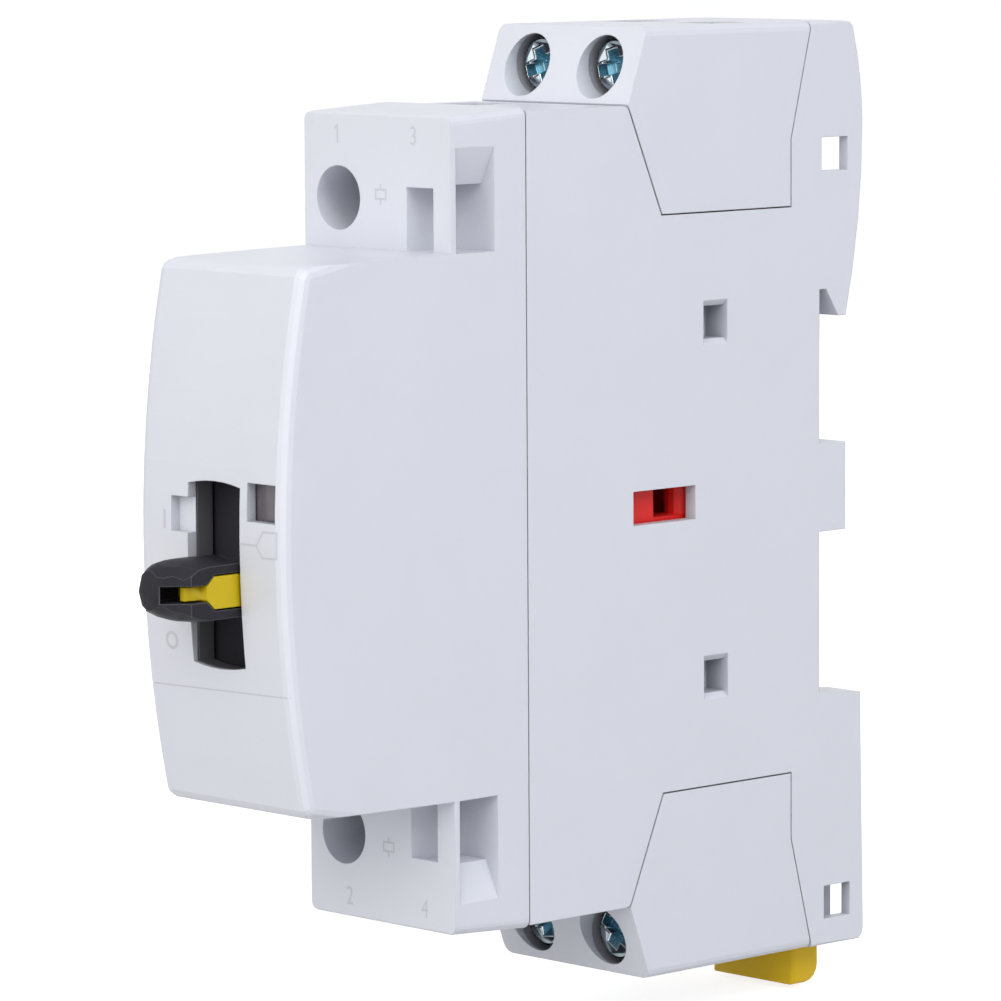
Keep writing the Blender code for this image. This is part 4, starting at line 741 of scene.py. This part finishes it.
@dataclass
class Selector:
    """Hand lever with a soft grip, and the yellow lock whose thin tongue lies in the lever's slit."""

    wardrobe: Wardrobe
    neck: float = 3.22 * MM
    tongue_end: float = 4.84 * MM
    tongue_step: float = 4.35 * MM
    tongue_inset: float = 0.70 * MM
    tongue_width: float = 0.70 * MM
    tongue_ledge: float = 0.12 * MM
    travel: float = 2.0 * MM
    side_play: float = 0.10 * MM
    neck_play: float = 0.04 * MM
    web_half: float = 0.75 * MM
    web: tuple[tuple[float, float], ...] = (
        (3.9 * MM, 2.1 * MM), (2.2 * MM, 1.9 * MM), (1.4 * MM, 1.4 * MM), (0.7 * MM, 0.8 * MM))
    nose_y: float = -62.0 * MM
    lever_sharp: float = 17.0
    lock_sharp: float = 26.0
    overcut: float = 2.0 * MM

    def build(self) -> None:
        """Make the lever and the lock in place of their nodes."""
        lever = merged_copy("selector_lever", "soft_selector_lever", self.wardrobe.get(Finish.BLACK),
                            self.lever_sharp)
        lock = merged_copy("lever_lock", "stepped_lever_lock", self.wardrobe.get(Finish.YELLOW),
                           self.lock_sharp)
        low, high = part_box("lever_lock")
        lever_low, lever_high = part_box("selector_lever")
        front = lever_low.y
        middle = (lever_low.x + lever_high.x) / 2
        level = (low.z + high.z) / 2
        inner = high.x - self.tongue_inset - self.tongue_width
        wall = inner - self.travel - self.side_play
        web = [(wall, self.nose_y - self.neck - self.neck_play), (wall, front + self.web[-1][0])]
        web += [(middle - half, front + ahead) for ahead, half in reversed(self.web)]
        carve(lever, web, level - self.web_half, level + self.web_half, "UNION")
        left, right, ahead = low.x - self.overcut, high.x + self.overcut, low.y - self.overcut
        outer = high.x - self.tongue_inset - self.tongue_ledge
        for x_low, x_high, back in ((left, inner, self.neck), (left, right, self.tongue_end),
                                    (outer, right, self.tongue_step)):
            edge = self.nose_y - back
            plan = [(x_low, ahead), (x_high, ahead), (x_high, edge), (x_low, edge)]
            carve(lock, plan, low.z - self.overcut, high.z + self.overcut)
        seat(lever, "selector", ["selector_lever"])
        seat(lock, "lock", ["lever_lock"])


@dataclass(frozen=True)
class ScrewSize:
    """Sizes of one kind of clamp screw."""

    head_radius: float
    head_height: float
    shank_radius: float
    slot_length: float
    slot_breadth: float
    slot_depth: float
    arm_length: float
    arm_breadth: float
    arm_depth: float
    thread_pitch: float
    rim_bevel: float = 0.14 * MM
    chamfer: float = 0.10 * MM


@dataclass
class ClampScrews:
    """Six plated clamp screws with a slot across a tapered cross recess, a toothed rim and a thread."""

    wardrobe: Wardrobe
    power: ScrewSize = ScrewSize(
        head_radius=2.40 * MM, head_height=2.1 * MM, shank_radius=1.70 * MM,
        slot_length=4.1 * MM, slot_breadth=1.05 * MM, slot_depth=0.95 * MM,
        arm_length=3.1 * MM, arm_breadth=1.35 * MM, arm_depth=1.45 * MM, thread_pitch=0.70 * MM)
    coil: ScrewSize = ScrewSize(
        head_radius=2.20 * MM, head_height=1.4 * MM, shank_radius=1.30 * MM,
        slot_length=3.7 * MM, slot_breadth=0.90 * MM, slot_depth=0.70 * MM,
        arm_length=2.7 * MM, arm_breadth=1.15 * MM, arm_depth=1.00 * MM, thread_pitch=0.45 * MM)
    tooth: float = 0.11 * MM
    teeth: int = 36
    sides: int = 48
    square_radius: float = 0.7072
    slot_foot: float = 0.62
    arm_foot: float = 0.20
    brink_foot: float = 0.60
    level_face: float = 0.97
    stem_share: float = 0.9
    thread_share: float = 0.92
    ridge_share: float = 0.08
    sharp: float = 14.0
    power_spins: tuple[float, ...] = (20.0, 7.0, 14.0, -30.0)
    coil_spins: tuple[tuple[str, float], ...] = (("upper", 20.0), ("lower", -25.0))

    def square(self, shape: Shape, foot: float) -> Signal:
        """Square cutter of unit size that narrows downwards.

        Args:
            shape: The tree.
            foot: Radius of its lower corners.

        Returns:
            The cutter, just over its own mouth.
        """
        solid = shape.frustum(foot, self.square_radius, 1.02, -1.0, 4)
        return shape.moved(solid, turn=(0.0, 0.0, math.pi / 4))

    def tree(self) -> Shape:
        """Geometry Nodes tree of one screw, with its axis along -Y and its face at the given place.

        Returns:
            The tree.
        """
        shape = Shape("clamp_screw")
        radius = shape.size("Head radius")
        height = shape.size("Head height")
        bevel = shape.size("Rim bevel")
        shank = shape.size("Shank radius")
        length = shape.size("Shank length")
        slot = [shape.size(name) for name in ("Slot length", "Slot breadth", "Slot depth")]
        arm = [shape.size(name) for name in ("Arm length", "Arm breadth", "Arm depth")]
        chamfer = shape.size("Chamfer")
        pitch = shape.size("Thread pitch")
        spin = shape.size("Spin")
        place = shape.size("Place", "Vector")
        core = radius - self.tooth
        rim = shape.frustum(core, core, height - bevel, 0.0 - height, self.sides)
        crown = shape.frustum(core, core - 1.1 * bevel, bevel, 0.0 - bevel, self.sides)
        head = shape.node("GeometryNodeMeshBoolean", {"operation": "UNION", "solver": "EXACT"},
                          {"Mesh 2": [rim, crown]})
        wedge = self.square(shape, self.arm_foot)
        along = shape.moved(self.square(shape, self.slot_foot), scale=shape.vector(*slot))
        across = shape.moved(wedge, scale=shape.vector(arm[1], arm[0], arm[2]))
        cross = shape.moved(wedge, scale=shape.vector(*arm))
        brink = self.square(shape, self.brink_foot)
        wide = 2.0 * chamfer
        brinks = [shape.moved(brink, scale=shape.vector(*[side + wide for side in sides], chamfer))
                  for sides in ((slot[0], slot[1]), (arm[1], arm[0]), (arm[0], arm[1]))]
        cut = shape.node("GeometryNodeMeshBoolean", {"operation": "DIFFERENCE", "solver": "EXACT"},
                         {"Mesh 1": head, "Mesh 2": [along, across, cross, *brinks]})
        spot = shape.node("GeometryNodeInputPosition")
        level = shape.node("ShaderNodeSeparateXYZ", {}, {0: spot}, "Z")
        sunk = shape.maths("DIVIDE", 0.0 - level, slot[2], True)
        flat = shape.node("ShaderNodeVectorMath", {"operation": "MULTIPLY"}, {0: spot, 1: (1.0, 1.0, 0.0)})
        reach = shape.node("ShaderNodeVectorMath", {"operation": "LENGTH"}, {0: flat}, "Value")
        outer = shape.maths("GREATER_THAN", reach, core - 1.2 * bevel)
        facing = shape.node("ShaderNodeSeparateXYZ", {}, {0: shape.node("GeometryNodeInputNormal")}, "Z")
        tilted = shape.maths("LESS_THAN", facing, self.level_face)
        shallow = shape.maths("GREATER_THAN", level, chamfer * -1.05)
        marked = cut
        # rim marks the faces that take painted shade, chamfer those that take a painted highlight, recess the
        # depth that sets the plating's tint
        for name, value in (("recess", sunk), ("rim", outer), ("chamfer", tilted * shallow)):
            marked = shape.node("GeometryNodeStoreNamedAttribute", {"data_type": "FLOAT", "domain": "FACE"},
                                {"Geometry": marked, "Name": name, "Value": value})
        ring = shape.node("GeometryNodeMeshCircle", {}, {"Vertices": self.teeth, "Radius": core})
        outward = shape.node("FunctionNodeAlignRotationToVector", {"axis": "X"},
                             {"Vector": shape.node("GeometryNodeInputPosition")})
        tooth = shape.frustum(self.tooth, self.tooth, height - bevel, 0.0 - height, 4)
        teeth = shape.node("GeometryNodeInstanceOnPoints", {},
                           {"Points": ring, "Instance": tooth, "Rotation": outward})
        stem_radius = shank * self.stem_share
        stem = shape.frustum(stem_radius, stem_radius, length, 0.0 - height - length, self.sides // 2)
        thread_radius = shank * self.thread_share
        spiral = shape.node("GeometryNodeCurveSpiral", {}, {
            "Resolution": 20, "Rotations": shape.maths("DIVIDE", length, pitch),
            "Start Radius": thread_radius, "End Radius": thread_radius, "Height": length * 0.96})
        ridge = shape.node("GeometryNodeCurvePrimitiveCircle", {},
                           {"Resolution": 4, "Radius": shank * self.ridge_share})
        thread = shape.node("GeometryNodeCurveToMesh", {},
                            {"Curve": spiral, "Profile Curve": ridge, "Fill Caps": True})
        lowered = shape.moved(thread, shape.vector(z=0.0 - height - length * 0.98))
        whole = shape.node("GeometryNodeJoinGeometry", {}, {"Geometry": [marked, teeth, stem, lowered]})
        spun = shape.moved(whole, turn=shape.vector(z=spin))
        shape.close(shape.moved(spun, place, (math.pi / 2, 0.0, 0.0)), self.wardrobe.get(Finish.ZINC))
        return shape

    def build(self) -> None:
        """Make the six screws in the places of their nodes."""
        shape = self.tree()
        for index, spin in enumerate(self.power_spins, 1):
            self.place(shape, self.power, f"terminal_screw_{index}", f"screw_{index}", spin)
        for side, spin in self.coil_spins:
            self.place(shape, self.coil, f"coil_screw_{side}", f"coil_screw_{side}_body", spin)

    def place(self, shape: Shape, size: ScrewSize, node: str, body: str, spin: float) -> None:
        """Make one screw where its CAD node is.

        Args:
            shape: The screw's tree.
            size: Its sizes.
            node: The CAD node that it replaces.
            body: The body that it rides on.
            spin: Turn about its axis in degrees.
        """
        low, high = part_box(node)
        middle = (low + high) / 2
        values = {name.replace("_", " ").capitalize(): value for name, value in asdict(size).items()}
        values |= {"Shank length": high.y - low.y - size.head_height, "Spin": math.radians(spin),
                   "Place": (middle.x, low.y, middle.z)}
        seat(shape.grow("cross_" + node, values, self.sharp), body, [node])


@dataclass(frozen=True)
class SpringSize:
    """Sizes and seat of one coil spring."""

    node: str
    body: str
    upright: bool
    turns: float
    joint: str = ""
    anchor: Colour = (0.0, 0.0, 0.0)
    keep: float = 1.0


@dataclass
class CoilSprings:
    """Coil springs of round wire with closed ends; a spring on a joint gets a mesh of its own."""

    wardrobe: Wardrobe
    wire: float = 0.2 * MM
    steps: int = 320
    wire_sides: int = 10
    springs: tuple[SpringSize, ...] = (
        SpringSize("return_spring_upper", CASING, False, 10, "carrier_slide", (0.0, -42.0 * MM, 0.0), 0.88),
        SpringSize("return_spring_lower", CASING, False, 10, "carrier_slide", (0.0, -42.0 * MM, 0.0), 0.88),
        SpringSize("contact_spring_left", "carrier", False, 6),
        SpringSize("contact_spring_right", "carrier", False, 6),
        SpringSize("din_clip_spring", CASING, True, 8, "clip_slide", (0.0, 0.0, -33.8 * MM), 0.70),
    )

    def tree(self) -> Shape:
        """Geometry Nodes tree of one spring that stands on the origin along Z before it is placed.

        Returns:
            The tree.
        """
        shape = Shape("coil_spring")
        radius = shape.size("Coil radius")
        wire = shape.size("Wire radius")
        length = shape.size("Length")
        turns = shape.size("Turns")
        place = shape.size("Place", "Vector")
        turn = shape.size("Turn", "Vector")
        line = shape.node("GeometryNodeCurvePrimitiveLine")
        path = shape.node("GeometryNodeResampleCurve", {}, {"Curve": line, "Count": self.steps})
        along = shape.node("GeometryNodeSplineParameter", output="Factor") * turns
        shut = 2.1 * wire
        rise = wire
        for start, end, height in ((0.0, 1.0, shut), (1.0, turns - 1.0, length - 2.0 * wire - 2.0 * shut),
                                   (turns - 1.0, turns, shut)):
            rise = rise + shape.node("ShaderNodeMapRange", {}, {
                "Value": along, "From Min": start, "From Max": end, "To Min": 0.0, "To Max": height})
        angle = along * math.tau
        coil = radius - wire
        spot = shape.vector(coil * shape.maths("COSINE", angle), coil * shape.maths("SINE", angle), rise)
        helix = shape.node("GeometryNodeSetPosition", {}, {"Geometry": path, "Position": spot})
        ring = shape.node("GeometryNodeCurvePrimitiveCircle", {},
                          {"Resolution": self.wire_sides, "Radius": wire})
        tube = shape.node("GeometryNodeCurveToMesh", {},
                          {"Curve": helix, "Profile Curve": ring, "Fill Caps": True})
        shape.close(shape.moved(tube, place, turn), self.wardrobe.get(Finish.WIRE))
        return shape

    def build(self) -> None:
        """Make each spring where its CAD node is."""
        shape = self.tree()
        for spring in self.springs:
            low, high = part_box(spring.node)
            middle = (low + high) / 2
            foot = (middle.x, middle.y, low.z) if spring.upright else (middle.x, low.y, middle.z)
            piece = shape.grow("wound_" + spring.node, {
                "Coil radius": (high.x - low.x) / 2, "Wire radius": self.wire,
                "Length": high.z - low.z if spring.upright else high.y - low.y, "Turns": spring.turns,
                "Place": foot, "Turn": (0.0 if spring.upright else -math.pi / 2, 0.0, 0.0)})
            seat(piece, spring.body, [spring.node])
            if spring.joint:
                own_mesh(piece)


@dataclass
class PrintedMarks:
    """Plain numbers, position signs, a pointer tag and thin lines printed on the front cover."""

    wardrobe: Wardrobe
    thickness: float = 0.012 * MM
    stroke: float = 0.17 * MM
    step: float = 0.25 * MM
    digit_height: float = 1.6 * MM
    capital_share: float = 0.72
    narrowing: float = 0.82
    sink: float = 0.01 * MM
    ring_steps: int = 36
    shape: bmesh.types.BMesh = field(default_factory=bmesh.new)

    def build(self) -> None:
        """Print every mark on the front cover."""
        for text, x, z in (("3", 4.46, 31.88), ("2", -4.07, -31.98), ("4", 5.20, -31.9)):
            self.digit(text, x * MM, z * MM)
        self.line([(-5.18, 32.32), (-4.80, 32.62), (-4.80, 31.08)])
        self.line([(-5.61, 0.54), (-5.61, 2.07)], 0.28 * MM)
        self.ring((-5.27, -8.65), 0.63, 0.27 * MM)
        self.line([(3.80, 0.0), (5.60, 0.0)])
        self.line([(5.70, 0.0), (6.48, 1.14), (8.13, 1.20), (8.11, -0.90), (6.44, -0.96)], None, True)
        self.line([(-8.14, -12.46), (8.6, -12.10)], 0.12 * MM)
        self.coil_sign(0.45, 27.05)
        self.coil_sign(0.80, -27.2)
        self.press()

    def line(self, points: Sequence[tuple[float, float]], width: float | None = None,
             closed: bool = False) -> None:
        """Add a line of even width with mitred corners.

        Args:
            points: Its corners (x, z) in millimetres.
            width: Its width in metres.
            closed: Whether the last corner joins the first.
        """
        corners = [Vector((x, 0.0, z)) * MM for x, z in points]
        path = []
        for start, end in zip(corners, corners[1:] + corners[:1] if closed else corners[1:]):
            steps = math.ceil((end - start).length / self.step)
            path += [start.lerp(end, share / steps) for share in range(steps)]
        if not closed:
            path.append(corners[-1])
        rows = []
        for index, spot in enumerate(path):
            before = spot - path[index - 1] if index or closed else path[1] - spot
            after = path[(index + 1) % len(path)] - spot if index < len(path) - 1 or closed else before
            first, second = before.normalized(), after.normalized()
            along = (first + second).normalized()
            side = Vector((-along.z, 0.0, along.x)) * (width or self.stroke) / 2 / max(0.5, along.dot(first))
            rows.append([self.shape.verts.new(spot + shift) for shift in (-side, side)])
        for (left, right), (next_left, next_right) in zip(rows, rows[1:] + rows[:1] if closed else rows[1:]):
            self.shape.faces.new((left, next_left, next_right, right))

    def ring(self, centre: tuple[float, float], radius: float, width: float) -> None:
        """Add a ring, given in millimetres with its stroke's width in metres."""
        turns = [math.tau * step / self.ring_steps for step in range(self.ring_steps)]
        spots = [(centre[0] + radius * math.cos(turn), centre[1] + radius * math.sin(turn)) for turn in turns]
        self.line(spots, width, True)

    def coil_sign(self, x: float, z: float) -> None:
        """Add the plain sign of a coil: a box with two leads, centred at (x, z) millimetres."""
        half, rise = 0.62, 0.38
        lead_start, lead_end = 0.46, 0.85
        self.line([(x - half, z - rise), (x + half, z - rise), (x + half, z + rise), (x - half, z + rise)],
                  None, True)
        self.line([(x, z + lead_start), (x, z + lead_end)])
        self.line([(x, z - lead_start), (x, z - lead_end)])

    def digit(self, text: str, x: float, z: float) -> None:
        """Add a plain number.

        Args:
            text: The number.
            x: Place of its middle.
            z: Height of its middle.
        """
        curve = bpy.data.curves.new("digit_" + text, "FONT")
        curve.body = text
        curve.align_x = "CENTER"
        curve.align_y = "CENTER"
        curve.size = self.digit_height / self.capital_share
        writer = bpy.data.objects.new(curve.name, curve)
        bpy.context.scene.collection.objects.link(writer)
        flat = bpy.data.meshes.new_from_object(writer.evaluated_get(bpy.context.evaluated_depsgraph_get()))
        bpy.data.objects.remove(writer)
        upright = Matrix.Rotation(math.pi / 2, 4, "X") @ Matrix.Diagonal((self.narrowing, 1, 1, 1))
        flat.transform(Matrix.Translation((x, 0.0, z)) @ upright)
        self.shape.from_mesh(flat)

    def press(self) -> None:
        """Lay the flat marks on the cover's face and give them the thickness of ink."""
        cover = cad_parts["front_cover"].data
        tree = BVHTree.FromPolygons([vert.co for vert in cover.vertices],
                                    [face.vertices for face in cover.polygons])
        for vert in self.shape.verts:
            hit = tree.ray_cast(Vector((vert.co.x, -0.1, vert.co.z)), Vector((0, 1, 0)))[0]
            vert.co.y = hit.y + self.sink
        raised = bmesh.ops.extrude_face_region(self.shape, geom=self.shape.faces[:])["geom"]
        for vert in (part for part in raised if isinstance(part, bmesh.types.BMVert)):
            vert.co.y -= self.thickness + self.sink
        bmesh.ops.recalc_face_normals(self.shape, faces=self.shape.faces)
        mesh = bpy.data.meshes.new("printed_marks")
        self.shape.to_mesh(mesh)
        self.shape.free()
        mesh.materials.append(self.wardrobe.get(Finish.INK))
        seat(link("printed_marks", mesh), CASING)


@dataclass
class Studio:
    """Camera, soft lamps, bright surroundings and a pale floor."""

    azimuth: float = 46.531
    elevation: float = 6.303
    roll: float = -0.329
    distance: float = 492.977 * MM
    target: Colour = (-8.09 * MM, -22.04 * MM, -0.62 * MM)
    lens: float = 205.4
    floor_z: float = -44.9 * MM
    floor_reach: float = 6.0
    floor_tones: tuple[float, float] = (0.54, 0.57)
    floor_glow: float = 0.80
    fill: Colour = (0.96, 0.98, 1.0)
    fill_level: float = 0.51
    fill_drop: float = 0.20

    def build(self) -> None:
        """Make the camera, the lamps, the world and the floor."""
        self.camera()
        self.lamp("key", (0.15, -0.87, 0.40), size=0.9, power=5.1, colour=(1.0, 0.985, 0.935))
        self.lamp("side", (0.52, -0.13, 0.44), size=0.45, power=2.35, colour=(0.95, 0.98, 1.0))
        rear = self.lamp("rear", (-0.55, 0.25, 0.20), size=0.45, power=0.9, colour=(1.0, 1.0, 1.0))
        rear.visible_glossy = False
        self.world()
        self.floor()
        bpy.context.scene.view_settings.view_transform = "Standard"

    def camera(self) -> None:
        """Place the camera at the photograph's viewing angle."""
        turn, rise = math.radians(self.azimuth), math.radians(self.elevation)
        back = Vector((math.sin(turn) * math.cos(rise), -math.cos(turn) * math.cos(rise), math.sin(rise)))
        data = bpy.data.cameras.new("photo_camera")
        data.lens = self.lens
        data.sensor_width = 36.0
        data.clip_start = 0.01
        data.clip_end = 50.0
        camera = bpy.data.objects.new("photo_camera", data)
        camera.rotation_mode = "QUATERNION"
        camera.location = Vector(self.target) + back * self.distance
        tilt = Matrix.Rotation(math.radians(self.roll), 4, "Z")
        aim = (-back).to_track_quat("-Z", "Y").to_matrix().to_4x4()
        camera.rotation_quaternion = (aim @ tilt).to_quaternion()
        bpy.context.scene.collection.objects.link(camera)
        bpy.context.scene.camera = camera

    @staticmethod
    def lamp(name: str, place: Colour, size: float, power: float, colour: Colour) -> bpy.types.Object:
        """Add a soft lamp that looks at the origin.

        Args:
            name: Name of the lamp.
            place: Its position.
            size: Side of its square.
            power: Its power in watts.
            colour: Its colour.

        Returns:
            The lamp.
        """
        data = bpy.data.lights.new(name, "AREA")
        data.size = size
        data.energy = power
        data.color = colour
        lamp = bpy.data.objects.new(name, data)
        lamp.location = place
        lamp.rotation_euler = Vector(place).to_track_quat("Z", "Y").to_euler()
        bpy.context.scene.collection.objects.link(lamp)
        return lamp

    def world(self) -> None:
        """White to the camera and in reflections, and otherwise a plain fill that is weaker overhead."""
        world = bpy.data.worlds.new("studio")
        world.use_nodes = True
        sky = NodeTree(world.node_tree)
        ray = sky.node("ShaderNodeTexCoord", output="Generated")
        above = sky.maths("MAXIMUM", sky.node("ShaderNodeSeparateXYZ", {}, {0: ray}, "Z"), 0.0)
        level = self.fill_level - above * self.fill_drop
        fill = sky.node("ShaderNodeBackground", {}, {"Color": (*self.fill, 1.0), "Strength": level})
        white = sky.node("ShaderNodeBackground", {}, {"Color": WHITE, "Strength": 1.0})
        mixed = sky.node("ShaderNodeMixShader", {}, {0: sky.seen(), 1: fill, 2: white})
        sky.node_output(mixed, "World")
        bpy.context.scene.world = world

    def floor(self) -> None:
        """A large pale floor that keeps the shadow."""
        graph = Graph("pale_floor")
        speck = graph.noise(0.02, 3.0)
        tone = graph.blend(speck, *[(level, level, level) for level in self.floor_tones])
        diffuse = graph.node("ShaderNodeBsdfDiffuse", {}, {"Color": tone})
        glow = graph.node("ShaderNodeEmission", {}, {"Color": WHITE, "Strength": self.floor_glow})
        lit = graph.node("ShaderNodeAddShader", {}, {0: diffuse, 1: glow})
        graph.node_output(graph.node("ShaderNodeMixShader", {}, {0: graph.seen(), 1: diffuse, 2: lit}))
        shape = bmesh.new()
        reach = self.floor_reach
        corners = ((-reach, -reach), (reach, -reach), (reach, reach), (-reach, reach))
        shape.faces.new([shape.verts.new((x, y, self.floor_z)) for x, y in corners])
        mesh = bpy.data.meshes.new("floor")
        shape.to_mesh(mesh)
        shape.free()
        mesh.materials.append(graph.material)
        link("floor", mesh)


def main() -> None:
    """Build the studio and every sub-assembly."""
    logging.basicConfig(level=logging.INFO, format="%(name)s: %(message)s")
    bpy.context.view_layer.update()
    wardrobe = Wardrobe()
    Studio().build()
    Mouldings(wardrobe).build()
    RailClip(wardrobe).build()
    Selector(wardrobe).build()
    ClampScrews(wardrobe).build()
    CoilSprings(wardrobe).build()
    PrintedMarks(wardrobe).build()


if __name__ == "__main__":
    main()
